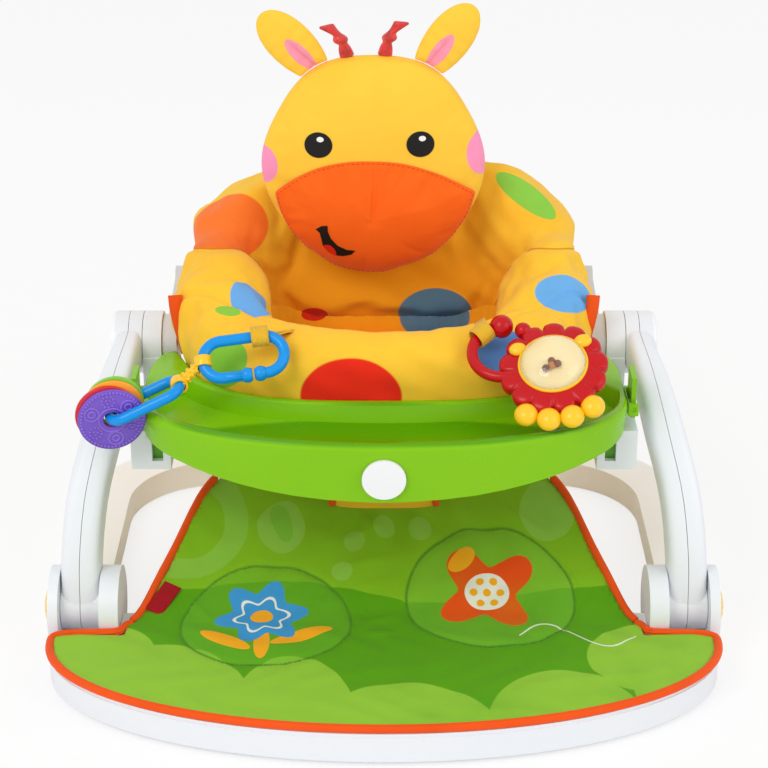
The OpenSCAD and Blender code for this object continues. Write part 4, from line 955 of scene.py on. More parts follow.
# %% Rows of small things
def row_nodes():
    tree = bpy.data.node_groups.new("row of beads", "GeometryNodeTree")
    face, sockets = tree.interface, {}
    face.new_socket("Geometry", in_out="INPUT", socket_type="NodeSocketGeometry")
    for name, kind in (("Pitch", "Float"), ("Size", "Vector"), ("Seed", "Int"), ("Coat", "Material")):
        sockets[name] = face.new_socket(name, in_out="INPUT", socket_type="NodeSocket" + kind).identifier
    face.new_socket("Geometry", in_out="OUTPUT", socket_type="NodeSocketGeometry")
    kinds = ("NodeGroupInput", "NodeGroupOutput", "GeometryNodeMeshToCurve", "GeometryNodeCurveToPoints",
             "FunctionNodeAlignRotationToVector", "GeometryNodeMeshIcoSphere", "GeometryNodeInstanceOnPoints",
             "FunctionNodeRandomValue", "ShaderNodeVectorMath", "GeometryNodeRealizeInstances",
             "GeometryNodeSetMaterial")
    given, result, line, points, turn, bead, beads, vary, scale, real, coat = map(tree.nodes.new, kinds)
    points.mode, turn.axis, vary.data_type, scale.operation = "LENGTH", "Z", "FLOAT", "SCALE"
    bead.inputs["Radius"].default_value = 0.5
    bead.inputs["Subdivisions"].default_value = 2
    vary.inputs[2].default_value, vary.inputs[3].default_value = 0.88, 1.1
    for start, out, end, socket in (
            (given, "Geometry", line, 0), (line, 0, points, "Curve"), (given, "Pitch", points, "Length"),
            (points, "Tangent", turn, "Vector"), (points, "Points", beads, "Points"),
            (bead, "Mesh", beads, "Instance"), (turn, 0, beads, "Rotation"), (given, "Seed", vary, "Seed"),
            (given, "Size", scale, 0), (vary, 1, scale, "Scale"), (scale, 0, beads, "Scale"),
            (beads, 0, real, 0), (real, 0, coat, "Geometry"), (given, "Coat", coat, "Material"),
            (coat, 0, result, 0)):
        tree.links.new(start.outputs[out], end.inputs[socket])
    return tree, sockets


ROW, ROW_SOCKETS = row_nodes()


def row(name, lines, pitch, size, material, body, seed=1, **rest):
    """Beads along lines of points, all in millimetres; size is across, across and along."""
    points, edges = [], []
    for line in lines:
        edges += [(len(points) + k, len(points) + k + 1) for k in range(len(line) - 1)]
        points += list(line)
    piece = add_mesh(name, points, [], edges)
    step = piece.modifiers.new("row", "NODES")
    step.node_group = ROW
    for key, value in (("Pitch", pitch * MM), ("Size", [s * MM for s in size]), ("Seed", seed),
                       ("Coat", material)):
        step[ROW_SOCKETS[key]] = value
    finish_modifiers(piece)
    piece.data.shade_smooth()
    dress(piece, material, body, **rest)


def on_surface(piece, points, way, lift=0.0):
    """Drops points along a direction onto a piece, in millimetres."""
    tree, found = surface(piece), []
    for p in points:
        hit, normal, _, _ = tree.ray_cast(Vector(p) * MM, Vector(way))
        if hit is not None:
            found.append(np.array(hit) * 1000 + np.array(normal) * lift)
    return found


thread_green = plastic("green thread", "5E9130", 0.7, 0.05, 0.1)
thread_muzzle = plastic("muzzle thread", "D84A00", 0.7, 0.05, 0.1)
seam = [at_head(*polar(float(muzzle_rim(a)) * 0.965, a), 0) - [0, 200, MUZZLE_DROP] for a in range(0, 363, 3)]
row("muzzle_stitches", [on_surface(muzzle, seam, (0, 1, 0), 0.1)], 4.6, (0.9, 0.9, 3.2), thread_muzzle,
    "backrest")
print("row node group ready")

# %% [markdown]
# ## The quilted mat
# On the real seat the floor mat and the ramp up to the seat are one printed cloth. So one mesh covers
# both: its outline is filled with small triangles and lifted by a height function. The two stitched
# picture ovals stand a little proud, with a sewn groove round them.

# %% Mat shape
RAMP = [[-101.5, 30.4, 219], [-84, 34, 210], [-50, 50, 197], [-21, 66, 184], [21, 92, 166], [39, 104, 152]]
RAMP_START, RAMP_LONG, MAT_UNDER = -101.5, 140, 30.1
MAT_KEEP = {"keep": 0.22, "anchor": MAT_UNDER * MM}
SLOPE = np.array(smooth_path(RAMP, 60))
NOTCH = [(287, -128), (276, -122.5), (227, -123.5), (225, -108.5), (219, -102.1)]
PADS = LEFT_PAD, RIGHT_PAD = (((-104, -107), (75, 66), 8), ((95, -74), (75, 68), -6))
CREASES = (((-62, -24), (12, -2)), ((-44, -44), (34, -26)), ((-34, -64), (20, -52)),
           ((-160, -34), (-100, 12)), ((-176, -70), (-150, -108)), ((18, -92), (-26, -104)),
           ((168, -22), (104, 14)), ((56, -6), (22, 24)), ((196, -62), (172, -98)), ((-8, -14), (-30, 20)),
           ((-120, -24), (-70, 22)), ((20, -116), (-22, -124)))


def mat_outline():
    edge = [(286.6 * math.sin(a), -136 - 131.8 * math.cos(a)) for a in np.linspace(0, math.pi / 2, 60)]
    side = edge + NOTCH + [(w, y) for y, _, w in SLOPE[1:]]
    return side + [(-x, y) for x, y in side[:0:-1]]


def pad_share(x, y, pad):
    (cx, cy), (rx, ry), turn = pad
    c, s = math.cos(math.radians(turn)), math.sin(math.radians(turn))
    u, v = (x - cx) * c + (y - cy) * s, -(x - cx) * s + (y - cy) * c
    return np.hypot(u / rx, v / ry)


def mat_bottom(x, y):
    """Height of the mat's lower face: the ramp's line, which sags in its middle."""
    sag = 2.0 * np.sin(math.pi * np.clip((y - RAMP_START) / RAMP_LONG, 0, 1)) * (1 - (x / 215) ** 2).clip(0)
    return np.interp(y, SLOPE[:, 0], SLOPE[:, 1], left=MAT_UNDER) - sag


def mat_top(x, y):
    """Height of the mat's upper face, with its pads, grooves and creases."""
    base = mat_bottom(x, y) + 4
    for pad in PADS:
        s = pad_share(x, y, pad)
        base = base + 2.2 * np.clip(1 - s ** 6, 0, 1) - 1.6 * np.exp(-((s - 1) / 0.035) ** 2)
    for (ax, ay), (bx, by) in CREASES:
        along = ((x - ax) * (bx - ax) + (y - ay) * (by - ay)) / ((bx - ax) ** 2 + (by - ay) ** 2)
        off = np.hypot(x - ax - along * (bx - ax), y - ay - along * (by - ay))
        base = base + 1.7 * np.exp(-(off / 3.8) ** 2) * np.sin(math.pi * np.clip(along, 0, 1))
    rumple = np.sin(x * 0.09 + 3 * np.sin(y * 0.05)) * np.sin(y * 0.075 + 2 * np.sin(x * 0.035))
    fan = np.sin(np.arctan2(x - 20, 150 - y) * 26) * np.clip((y + 70) / 60, 0, 1)
    return base + (rumple + 1.7 * fan * np.clip((y + 100) / 60, 0, 1)) * np.clip((y + 275) / 40, 0, 1)


grid = [(x, y) for x in np.arange(-286, 287, 3.5) for y in np.arange(-272, 39, 3.5)]
spots, faces = filled(mat_outline(), grid)
x, y = np.array([tuple(p) for p in spots]).T
count = len(x)
edges = dict.fromkeys(pair for face in faces for pair in zip(face, face[1:] + face[:1]))
border = [(a, a + count, b + count, b) for a, b in edges if (b, a) not in edges]
points = np.concatenate([np.column_stack([x, y, side(x, y)]) for side in (mat_top, mat_bottom)])
mat = add_mesh("play_mat", points, faces + [tuple(i + count for i in f[::-1]) for f in faces] + border)
edit(mat, outward)
print("mat has", len(mat.data.vertices), "points and", len(border), "border edges")

# %% [markdown]
# ## The mat's print
# The print is generic: light hills along the front, a darker band, a paler slope with dots, and two
# flowers in the stitched ovals. All of it is maths on each point's x and y, so nothing is an image.
# A flower is a circle whose radius swings with the angle round its middle.

# %% Mat print
f = Finish("printed mat cloth", True, Sheen_Weight=0.04, Specular_IOR_Level=0.15)
x, y = f.axis("X"), f.axis("Y")
weave = f.grain(x, y, 1.2)
folds = f.noise(11, 3.0, 0.55)


def flat_spot(centre, radii, turn=0):
    return f.spot((*centre, 60), (*radii, 1000), (0, 0, turn), 0.01)


def flower(centre, radius, petals, depth, turn):
    """A mask shaped like a flower seen from above, in millimetres."""
    local = f.around((centre[0] * MM, centre[1] * MM, 0.06), (0, 0, math.radians(turn)),
                     (radius * MM, radius * MM, 1e3))
    across, up = f.axis("X", local), f.axis("Y", local)
    swing = (up.math("ARCTAN2", up, across) * petals).one("COSINE")
    return (f.length(local) - swing * depth).step(1 - depth + 0.02, 1 - depth - 0.02)


def disc_rows(code, share, *discs):
    return [(flat_spot(*disc) * share if share < 1 else flat_spot(*disc), code) for disc in discs]


def rim_of(pad):
    """A thin ring on the seam round a pad."""
    middle, radii, turn = pad
    wide, narrow = (flat_spot(middle, tuple(r * share for r in radii), turn) for share in (1.022, 0.985))
    return wide - narrow


HILL, BLUE, ORANGE, SUN, WHITE = "94C83A", "3F9CDC", "F04E12", "FFB01E", "F4F3E6"
BLUE_AT, ORANGE_AT = (-108, -98), (92, -70)
SEEDS = [ORANGE_AT] + [tuple(np.add(ORANGE_AT, polar(12, 60 * k))) for k in range(6)]
wave = (x * 17 + 0.4).one("SINE") * 0.010 + (x * 31).one("SINE") * 0.003
trail = (y + 0.126 - ((x - 0.118) * 62).one("SINE") * 0.017).one("ABSOLUTE")
layers = [((y + wave).step(-0.0678, -0.0672), "84BC1C"),
          ((flat_spot((-182, -3), (58, 52)) - flat_spot((-182, -3), (36, 32))) * 0.55, "93CB52")]
layers += disc_rows("97CD58", 0.6, *[(at, (r, r)) for at, r in (
    ((-27, -18), 9.5), ((0, -6), 10), ((33, -8), 10.5), ((-38, -46), 9.5), ((150, 8), 26), ((-94, -6), 22))])
layers += disc_rows("78BC30", 0.7, ((-94, -2), (9, 17), 25))
layers += disc_rows(HILL, 1, ((18, -275), (76, 72)), ((-75, -240), (50, 79), 4), ((-196, -244), (88, 104)),
                    ((-262, -150), (64, 46)), ((150, -258), (64, 76)), ((240, -162), (66, 58)),
                    ((255, -215), (46, 50)))
layers += disc_rows("6DB62B", 0.45, LEFT_PAD) + disc_rows("7CBF38", 0.45, RIGHT_PAD)
layers += disc_rows(SUN, 1, ((-72, -128), (30, 8), 28), ((-138, -136), (26, 8), -32), ((-106, -141), (7, 24)))
layers += [(flower(BLUE_AT, 42, 6, 0.17, 12), BLUE),
           (flower(BLUE_AT, 26, 6, 0.15, 12) - flower(BLUE_AT, 23, 6, 0.15, 12), WHITE)]
layers += disc_rows(SUN, 1, (BLUE_AT, (10, 9.5)))
layers += [(flower(ORANGE_AT, 50, 4, 0.24, 38), ORANGE)]
layers += disc_rows(WHITE, 1, (ORANGE_AT, (20, 19)))
layers += disc_rows(SUN, 1, *[(at, (3.6, 3.6)) for at in SEEDS], ((70, -38), (14, 9), 40))
layers += [(trail.step(0.0013, 0.0009) * x.step(0.1175, 0.1185) * x.step(0.2205, 0.2195), "EEF3E0"),
           ((rim_of(LEFT_PAD) + rim_of(RIGHT_PAD)) * 0.55, "4C8A22"),
           # Painted fold shade: darker green where the slow noise is high.
           (folds.step(0.5, 0.85) * 0.35, "4C9A10"),
           ((weave + f.noise(700)).step(0.1, 1.8) * 0.12, "3F7F10")]
colour = rgb("5AA20C")
for mask, code in layers:
    colour = f.mix(mask, colour, rgb(code))
f.set(Base_Color=colour, Roughness=0.72 + weave * 0.04,
      Normal=f.bump(weave * 0.4 + f.noise(500, 2.0), 0.07, 0.7,
                    f.bump(folds + f.noise(40, 2.0) * 0.3, 3.4, 0.8)))
dress(mat, f.material, "base", ["mat_front", "mat_ramp"], "mat_cloth", 0.1, **MAT_KEEP)
seams = [on_surface(mat, [(*at, 200) for at in oval(middle, radii, 121, turn)], (0, 0, -1), 0.3)
         for middle, radii, turn in PADS]
row("pad_stitches", seams, 4.2, (0.9, 0.9, 3.0), thread_green, "base", **MAT_KEEP)
print("mat printed and stitched")

# %% Piping and tag
flat_piping = swollen("mat_piping", "mat_edge_piping", piping_cloth, 1, 1.0, body="base")
p = mesh_points(flat_piping)
p[:, 1] = np.where(p[:, 1] < -136, -136 + (p[:, 1] + 136) * 0.966, p[:, 1])
set_points(flat_piping, p)
swollen("ramp_piping", "ramp_edge_piping", piping_cloth, 1, 1.0, body="base", **MAT_KEEP)
tag = node_mesh("side_tag", "woven_tag")
p = mesh_points(tag)
set_points(tag, p.mean(0) + (p - p.mean(0)) * 1.22 - [5, 0, 0])
round_edges(tag, 0.3, 2)
smooth_by_angle(tag, 40)
dress(tag, cloth("tag cloth", "A8101C", "8B0010", pitch=0.7, thread=0.1), "base", ["woven_tag"], "tag_cloth",
      **MAT_KEEP)
print("piping and tag made")

# %% [markdown]
# ## The seat inside
# The child sits in a sling that hangs from the ring, on a loose cushion. Both are quilted cloth: the
# walls get soft vertical folds, and the cushion is stuffed and then sewn through along two lines. A
# floor closes the sling's hem, and a sleeve covers the ring's rear bar. A padded panel with orange
# bound edges closes the front between the legs.

# %% Sling, cushion and panel
SEAT_HEIGHT, SLING_KEEP, PANEL_KEEP = 0.184, 0.16, 0.12
FLOOR_FRONT = 46
sling = subdivide(node_mesh("hanging_sling", "seat_sling"), 2)
p = mesh_points(sling)
around = np.arctan2(p[:, 0], p[:, 1] - 60)
push(sling, 0.9 * np.sin(around * 22 + 1.5 * np.sin(p[:, 2] * 0.05)) * ramp(-p[:, 2], -178, -150))
p = mesh_points(sling)
lip = ramp(p[:, 2], 180, 183)
p[:, 2] += (33 + 15 * ramp(np.abs(p[:, 0]), 60, 105)) * lip
p[:, 1] -= 3.5 * lip
set_points(sling, p)
low = p[:, 2].min()
hem = p[p[:, 2] < low + 5][:, :2]
middle = (hem.max(0) + hem.min(0)) / 2
hem_way, hem_far = np.arctan2(*(hem - middle).T[::-1]), np.hypot(*(hem - middle).T)
rim = []
for a in np.linspace(-math.pi, math.pi, 97)[:-1]:
    close = np.abs((hem_way - a + math.pi) % WHOLE_TURN - math.pi) < 0.07
    rim.append((a, hem_far[close].mean() if close.any() else rim[-1][1]))
sling_floor = loft("sling_floor", [
    [(middle[0] + r * s * math.cos(a), max(FLOOR_FRONT, middle[1] + r * s * math.sin(a)), low + up)
     for a, r in rim]
    for s, up in ((0.3, 1), (0.7, 1), (0.97, 2.2), (1.0, 3.5), (0.97, 4.8), (0.7, 4), (0.3, 4))])
SLEEVE = ((147.8, 183), (147.8, 190), (147.8, 196), (149, 197), (170, 197), (190, 197), (191, 196),
          (190, 195.4), (170, 195.4), (149.4, 195.4), (149.4, 190), (149.4, 183))
sleeve = loft("ring_sleeve", [[(x, y, z) for y, z in SLEEVE] for x in np.linspace(-134, 134, 45)])
dress(sleeve, cover_cloth, "seat_ring", (), "seat_cloth", 0.1)
cushion = node_mesh("sitting_cushion", "seat_cushion")
modify(cushion, ("REMESH", {"mode": "VOXEL", "voxel_size": 5 * MM}))
mid = mesh_points(cushion).mean(0)
stuff(cushion, lambda q: np.hypot((q[:, 0] - mid[0]) / 96, (q[:, 1] - mid[1]) / 56) > 1.0, 4, 0.03)
subdivide(cushion)
p = mesh_points(cushion)
push(cushion, groove(np.minimum(abs(p[:, 0] - 32), abs(p[:, 0] + 32)), 4, 3.2) * (p[:, 2] > mid[2] - 4))
panel = subdivide(node_mesh("front_panel", "crotch_panel"), 2)
for piece, material, nodes, keep in (
        (sling, cover_cloth, ["seat_sling"], SLING_KEEP), (cushion, seat_cloth, ["seat_cushion"], SLING_KEEP),
        (sling_floor, seat_cloth, (), SLING_KEEP), (panel, seat_cloth, ["crotch_panel"], PANEL_KEEP)):
    dress(piece, material, "seat_ring", nodes, "seat_cloth", 0.5, keep, SEAT_HEIGHT)


def tube(name, path, radii, sides=12, flat=1.0, normal=(0, 1, 0)):
    """A round or flattened tube along points; radii may be one number or one per point."""
    rows = []
    for k, (p, radius) in enumerate(zip(path, np.broadcast_to(radii, len(path)))):
        along = path[min(k + 1, len(path) - 1)] - path[max(k - 1, 0)]
        along /= np.linalg.norm(along)
        across = np.cross(along, normal)
        across /= np.linalg.norm(across)
        up = np.cross(across, along)
        rows.append([p + radius * (across * math.cos(a) + up * flat * math.sin(a)) for a in circle(sides)])
    return loft(name, rows)


PANEL_EDGE = [(47.5, -24, 176), (47.5, -17, 160), (47.5, -6, 126), (47.5, 2, 97)]
ARM_EDGE = [(189, 57, 281), (188, 52, 268), (185, 50, 250), (181, 54, 226)]
for way, side in ((-1, "left"), (1, "right")):
    panel_line, arm_line = (smooth_path(np.array(edge) * [way, 1, 1], 24) for edge in (PANEL_EDGE, ARM_EDGE))
    edge = tube(f"panel_binding_{side}", panel_line, 3.2)
    dress(edge, piping_cloth, "seat_ring", keep=PANEL_KEEP, anchor=SEAT_HEIGHT)
    edge = tube(f"arm_binding_{side}", arm_line, np.linspace(6.4, 4.2, 24), flat=0.6)
    dress(edge, piping_cloth, "seat_ring", ["bindings"] if way > 0 else ())
print("seat inside made")

# %% [markdown]
# ## The toys
# The rattle's mane is a lobed disc: its outline is a circle whose radius swings thirteen times. The
# open ring is a tube with two balls. The dome is real clear plastic with beads inside. The links are
# smooth tubes, and two of their discs carry raised rings and dots, made by the node group that also
# makes the stitches.


# %% Rattle
def turned(place, rx, ry=0):
    """A placement in the way of the CAD: turn about x, then about y, then move."""
    turn = np.array(Matrix.Rotation(math.radians(ry), 3, "Y") @ Matrix.Rotation(math.radians(rx), 3, "X"))
    return lambda x, y, z: np.asarray(place, float) + turn @ np.array([x, y, z], float)


def on_rattle(piece, material, *nodes):
    return dress(piece, material, "rattle", nodes)


RATTLE_AT, LOBES = (144, -76, 266), 13
at_rattle = turned(RATTLE_AT, 30, -8)
rattle_axes = np.array([at_rattle(*v) - at_rattle(0, 0, 0) for v in np.eye(3)])


def mane_rim(a):
    return polar(41.6 + 5.2 * abs(math.cos(math.radians(a) * LOBES / 2)) ** 0.6, a)


mane = pillow("rattle_mane", mane_rim, 8.2, 7.4, 4.2, at_rattle, 208, 14)
x, y, z = ((mesh_points(mane) - np.array(RATTLE_AT)) @ rattle_axes.T).T
apart = np.abs(np.degrees(np.arctan2(y, x)) % (360 / LOBES) - 180 / LOBES)
push(mane, groove(apart, 1.7, 1.3) * ramp(np.hypot(x, y), 31, 40) * (np.abs(z) > 2))
on_rattle(mane, toy_red, "rattle_body")


def ball(name, centre, radius, segments=32):
    return loft(name, ellipsoid_rows(centre, (radius, radius, radius), 0, segments, segments // 2 - 1))


def knob(name, centre, radii, columns):
    """A flattened ball in the rattle's own space."""
    return loft(name, ellipsoid_rows(centre, radii, 0, columns, 15, at_rattle))


def grip(a, r=27):
    x, y = polar(r, a)
    return at_rattle(x - 40, y + 24, 2)


on_rattle(tube("rattle_ring", [grip(a) for a in np.linspace(88, 406, 80)], 5.0, 16, normal=rattle_axes[2]),
          toy_red)
on_rattle(ball("rattle_big_ball", grip(88), 10.2), toy_red)
on_rattle(ball("rattle_small_ball", grip(46), 7.2), toy_red)
f = Finish("clear amber plastic", Transmission_Weight=0.94, IOR=1.25, Coat_Weight=0.5, Coat_Roughness=0.03)
haze = f.noise(60, 2.0)
clear = f.set(Base_Color=f.mix(haze.step(0.3, 0.8), rgb("FFFBF0"), rgb("FDF3DA")),
              Roughness=0.05 + haze * 0.05, Normal=f.bump(haze, 0.02))
backing_plastic = plastic("pale backing plastic", "FFF2C4", 0.4, 0.02, 0.1, dark="F2CF7E")


def lathe(name, profile, caps=True):
    """A body round the rattle's axis from (radius, height) pairs, from the back to the front."""
    rows = [[at_rattle(r * math.cos(a), r * math.sin(a), z) for a in circle(72)] for r, z in profile]
    return loft(name, rows, caps)


BACKING = [(6, 6.6), (16, 6.4), (27.2, 8.2), (28, 9.2), (27, 9.9), (16, 9.6), (5, 9.8)]
on_rattle(lathe("rattle_backing", BACKING), backing_plastic)
shell = [(27.6 * math.cos(a), 8.4 + 14.5 * math.sin(a)) for a in np.linspace(0, math.pi / 2, 16)[:-1]]
on_rattle(lathe("rattle_window", [(4, 8.3), (16, 8.3), (26, 8.3)] + shell), clear, "rattle_dome")
for k, code in enumerate(("7A3018", "8C3A1C", "C07A20", "6E2814")):
    at = at_rattle(3.6 * math.cos(k) - 3 * (k % 2), 3.4 * math.sin(k * 1.7) - 5, 13.2)
    bead_plastic = plastic(f"bead plastic {k + 1}", code, 0.3, 0.02, 0.15)
    on_rattle(ball(f"rattle_bead_{k + 1}", at, 3.1, 20), bead_plastic, *([] if k else ["rattle_beads"]))
on_rattle(lathe("rattle_rim", [(28.6 + 1.3 * math.cos(a), 8.4 + 1.6 * math.sin(a))
                               for a in np.linspace(0, WHOLE_TURN, 13)], False), toy_yellow, "rattle_trim")
for k, a in enumerate((35, 145)):
    on_rattle(knob(f"rattle_ear_{k + 1}", (*polar(34, a), 8.5), (7.6, 6.4, 4.2), 28), toy_yellow)
for k, a in enumerate((-123, -101, -79, -57)):
    on_rattle(knob(f"rattle_foot_{k + 1}", (*polar(51.6, a), 0), (10.3, 10.3, 8.4), 30), toy_yellow,
              *([] if k else ["rattle_feet"]))
print("rattle made")


# %% Links and discs
def softened(node, material, bevel):
    """A copy of a toy's CAD node with a wide round edge."""
    piece = node_mesh(node + "_rounded", node)
    round_edges(piece, bevel, 2, 40)
    smooth_by_angle(piece, 70)
    return dress(piece, material, "teether", [node])


def disc_plastic(name, code, shade):
    """Play-disc plastic with a soft cloud and the grain of a spark-eroded mould."""
    f = Finish(name, Coat_Weight=0.15)
    cloud, grain = f.noise(30, 2.0), f.noise(900, 2.0)
    return f.set(Base_Color=f.mix(cloud.step(0.3, 0.8) * 0.5, rgb(code), rgb(shade)),
                 Roughness=0.34 + cloud * 0.1, Normal=f.bump(grain + cloud, 0.05))


def relief(node, material, face):
    """Raised rings and dots on a disc's face; face is its height over the stack's middle."""
    def ring(x, z, r):
        return [tuple(DISC_PLACE @ Vector((x + r * math.cos(a), face, z + r * math.sin(a))))
                for a in np.linspace(0, WHOLE_TURN, 41)]

    rings, dots = [], [ring(0, 0, 26.2)]
    for k in range(6):
        x, z = polar(18.2, 60 * k + 15)
        if k % 2:
            dots += [ring(x, z, 5.2), ring(x, z, 1.7)]
        else:
            rings += [ring(x, z, 6.2), ring(x, z, 2.8)]
    row(node + "_dots", dots, 3.1, (2.5, 2.5, 2.5), material, "teether", 5)
    row(node + "_rings", rings + [ring(0, 0, 11.2)], 0.7, (1.9, 1.9, 2.1), material, "teether", 6)


for node, grow in (("near_link", 0.9), ("far_link", 0.8)):
    link = node_mesh(node + "_moulded", node)
    smooth_by_angle(link, 55)
    push(link, grow)
    dress(link, toy_blue, "teether", [node])
FAR, REACH, DIP, SWING = np.array([-204, -80, 238.5]), 31.7, math.radians(23.7), math.radians(9.7)
DISC = FAR - REACH * np.array([math.cos(DIP) * math.cos(SWING), math.cos(DIP) * math.sin(SWING),
                               math.sin(DIP)])
DISC_PLACE = Matrix.Translation(DISC) @ (Matrix.Rotation(SWING, 4, "Z") @ Matrix.Rotation(-DIP, 4, "Y")
                                         @ Matrix.Rotation(math.radians(6), 4, "X"))
for node, code, shade in (("disc_purple", "7550C4", "6A45BA"), ("disc_red", "D81426", "C01020"),
                          ("disc_orange", "FFA41E", "F0900E"), ("disc_green", "86C83A", "74B82C")):
    plain = disc_plastic(node + " plastic", code, shade)
    heights = [(DISC_PLACE.inverted() @ Vector(q)).y for q in mesh_points(softened(node, plain, 0.8))]
    if node == "disc_purple":
        print("disc heights", round(min(heights), 2), round(max(heights), 2))
        # The raised rings and dots are a lighter purple, a painted highlight.
        relief(node, disc_plastic("purple relief plastic with painted highlight", "8A66D8", "7C58CA"), min(heights))
    if node == "disc_green":
        relief(node, plain, max(heights))
softened("link_strap", toy_yellow, 0.7)
start, long = np.array([-154.7, -64.4, 267.6]), np.array([-20.0, -10.6, -16.1])
side = np.cross(long / np.linalg.norm(long), (0, 0, 1))
side /= np.linalg.norm(side)
up = np.cross(side, long / np.linalg.norm(long))
lines = []
for k in range(6):
    across, high = polar(4.0, 60 * k)
    lines.append([start + side * across + up * high + long * share for share in (0.14, 0.88)])
row("strap_bumps", lines, 4.2, (3.4, 3.4, 3.4), toy_yellow, "teether", 3)
print("links and discs made")

# %% [markdown]
# ## Webbing loops
# Each toy hangs on a loop of ribbed webbing that comes out of the cover. The loop goes once round the
# toy's bar, and its tail runs back to the cloth. The loop's middle comes from the toy, and the tail
# ends on the cover's own surface, found from the finished mesh.

# %% Webbing
f = Finish("webbing cloth", Sheen_Weight=0.2, Specular_IOR_Level=0.25)
rib = f.grain(f.axis("X") + f.axis("Z") * 0.35, f.axis("Y") + f.axis("Z") * 0.8, 1.9)
# Painted shade: the valleys between the ribs are a darker orange.
webbing_cloth = f.set(Base_Color=f.mix(rib.step(0.15, -0.3) * 0.5, rgb("FFCE2A"), rgb("F0A010")),
                      Roughness=0.65 + rib * 0.05, Normal=f.bump(rib.step(-0.3, 0.4), 0.4, 0.9))
BAND_WIDTH, BAND_THICK = 15, 1.5
BAND_SECTION = ((1, -0.4, 0), (1, 0.4, 0), (1, 1, 1), (0.5, 1, 0), (0, 1, 0), (-0.5, 1, 0), (-1, 1, 1),
                (-1, 0.4, 0), (-1, -0.4, 0), (-1, -1, 1), (-0.5, -1, 0), (0, -1, 0), (0.5, -1, 0), (1, -1, 1))


def band(name, path, wide_way):
    """A flat ribbed strap through points; wide_way is the direction across it."""
    rows = []
    for k, p in enumerate(path):
        along = path[min(k + 1, len(path) - 1)] - path[max(k - 1, 0)]
        along /= np.linalg.norm(along)
        wide = wide_way - along * np.dot(wide_way, along)
        wide /= np.linalg.norm(wide)
        up = np.cross(wide, along)
        rib = BAND_THICK / 2 * (1.3 if k % 2 else 0.7)
        rows.append([p + wide * (s * (BAND_WIDTH / 2 - 0.3 * corner)) + up * t * rib
                     for s, t, corner in BAND_SECTION])
    return loft(name, rows)


def webbing(side, centre, axis, pixel, r):
    """A loop round a toy's bar, with a tail to the place on the cover that shows at a pixel."""
    goal, lift = seen_on(cover, *pixel, 0.06)
    end = goal + lift * 0.6
    axis = axis / np.linalg.norm(axis)
    out = goal - centre
    out -= axis * np.dot(out, axis)
    out /= np.linalg.norm(out)
    across = np.cross(axis, out)
    loop = [centre + r * (out * math.cos(t) + across * math.sin(t))
            for t in np.linspace(math.radians(9), math.radians(351), 40)]
    path = [end, (end + loop[0]) / 2] + loop + [(end + loop[-1]) / 2 - across * 0.3, end - across * 0.9]
    piece = band(f"webbing_loop_{side}", smooth_path(path, 90), axis)
    tuple(centre * MM)
    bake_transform(piece)
    dress(piece, webbing_cloth, None, [f"webbing_{side}"], "webbing")


at_near = turned((-120, -61, 271), 45)
spin = np.array(Matrix.Rotation(math.radians(8), 3, "Z"))
link_middle, link_side, bar = (at_near(*(spin @ np.array(v, float)))
                               for v in ((0, 0, 0), (1, 0, 0), (16, 17, 0)))
webbing("left", bar, link_side - link_middle, (288, 331), 8.0)
webbing("right", grip(128), grip(129) - grip(127), (478, 322), 8.4)
print("webbing made")

# %% [markdown]
# ## Floor and light
# A pale floor catches the soft shadow. One large soft lamp from the upper left front, one from the
# right and an even sky keep colours about as written.

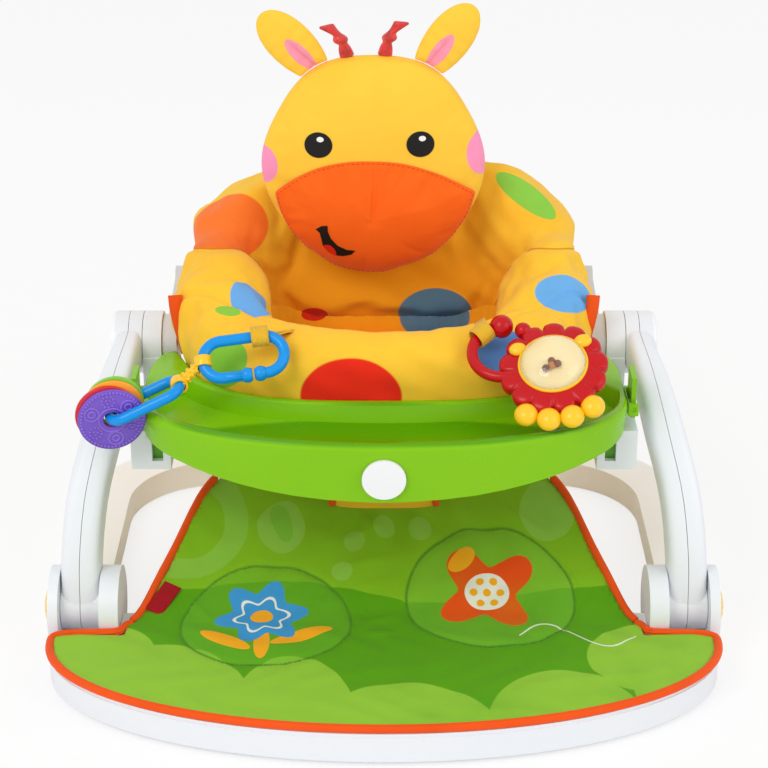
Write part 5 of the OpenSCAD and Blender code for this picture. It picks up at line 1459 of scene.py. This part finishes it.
# %% Stage
bpy.ops.mesh.primitive_plane_add(size=12, location=(0, 0, -0.0005))
floor = bpy.context.object
floor.name = "floor"
f = Finish("floor paint", Roughness=0.9, Specular_IOR_Level=0.0)
glow, both = f.tree.nodes.new("ShaderNodeEmission"), f.tree.nodes.new("ShaderNodeMixShader")
glow.inputs["Color"].default_value = (1, 1, 1, 1)
seen = Amount(f, f.node("ShaderNodeLightPath", {}))
for socket, value in ((both.inputs[0], (seen * 0.74).socket), (both.inputs[1], f.shader.outputs[0]),
                      (both.inputs[2], glow.outputs[0]),
                      (f.tree.nodes["Material Output"].inputs[0], both.outputs[0])):
    f.tree.links.new(value, socket)
sand = f.noise(40, 3.0)
f.set(Base_Color=f.mix(sand, (0.955, 0.955, 0.955), (0.94, 0.94, 0.94)), Normal=f.bump(sand, 0.05))
dress(floor, f.material)

bpy.context.scene.view_settings.view_transform = "Standard"
world = bpy.data.worlds.new("sky")
bpy.context.scene.world = world
world.use_nodes = True
nodes, links = world.node_tree.nodes, world.node_tree.links
nodes.clear()
sky, rays, seen, shown, power, out = (nodes.new(kind) for kind in (
    "ShaderNodeBackground", "ShaderNodeLightPath", "ShaderNodeMath", "ShaderNodeMath", "ShaderNodeMapRange",
    "ShaderNodeOutputWorld"))
sky.inputs["Color"].default_value = (1, 1, 1, 1)
seen.operation = shown.operation = "MAXIMUM"
power.inputs["To Min"].default_value = 0.75
power.inputs["To Max"].default_value = 1.0
for start, end in ((rays.outputs["Is Camera Ray"], seen.inputs[0]),
                   (rays.outputs["Is Glossy Ray"], seen.inputs[1]), (seen.outputs[0], shown.inputs[0]),
                   (rays.outputs["Is Transmission Ray"], shown.inputs[1]),
                   (shown.outputs[0], power.inputs["Value"]), (power.outputs[0], sky.inputs["Strength"]),
                   (sky.outputs[0], out.inputs[0])):
    links.new(start, end)


def lamp(name, at, size, watts):
    light = bpy.data.lights.new(name, "AREA")
    light.shape, light.size, light.energy = "DISK", size, watts
    holder = add_object(name, light)
    holder.location = at
    holder.rotation_euler = (Vector((0, 0, 0.2)) - Vector(at)).to_track_quat("-Z", "Y").to_euler()


lamp("key lamp", (-1.3, -1.8, 2.2), 1.4, 25)
lamp("fill lamp", (1.8, -1.2, 1.4), 1.6, 10)
print("stage lit")

# %% [markdown]
# ## Finish
# Each point's place at rest is written down for the cloths.

# %% Places at rest
own = [o for o in bpy.data.objects if o.type == "MESH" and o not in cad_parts.values()]
for piece in own:
    place = piece.data.attributes.new(REST, "FLOAT_VECTOR", "POINT")
    place.data.foreach_set("vector", (mesh_points(piece) * MM).ravel())
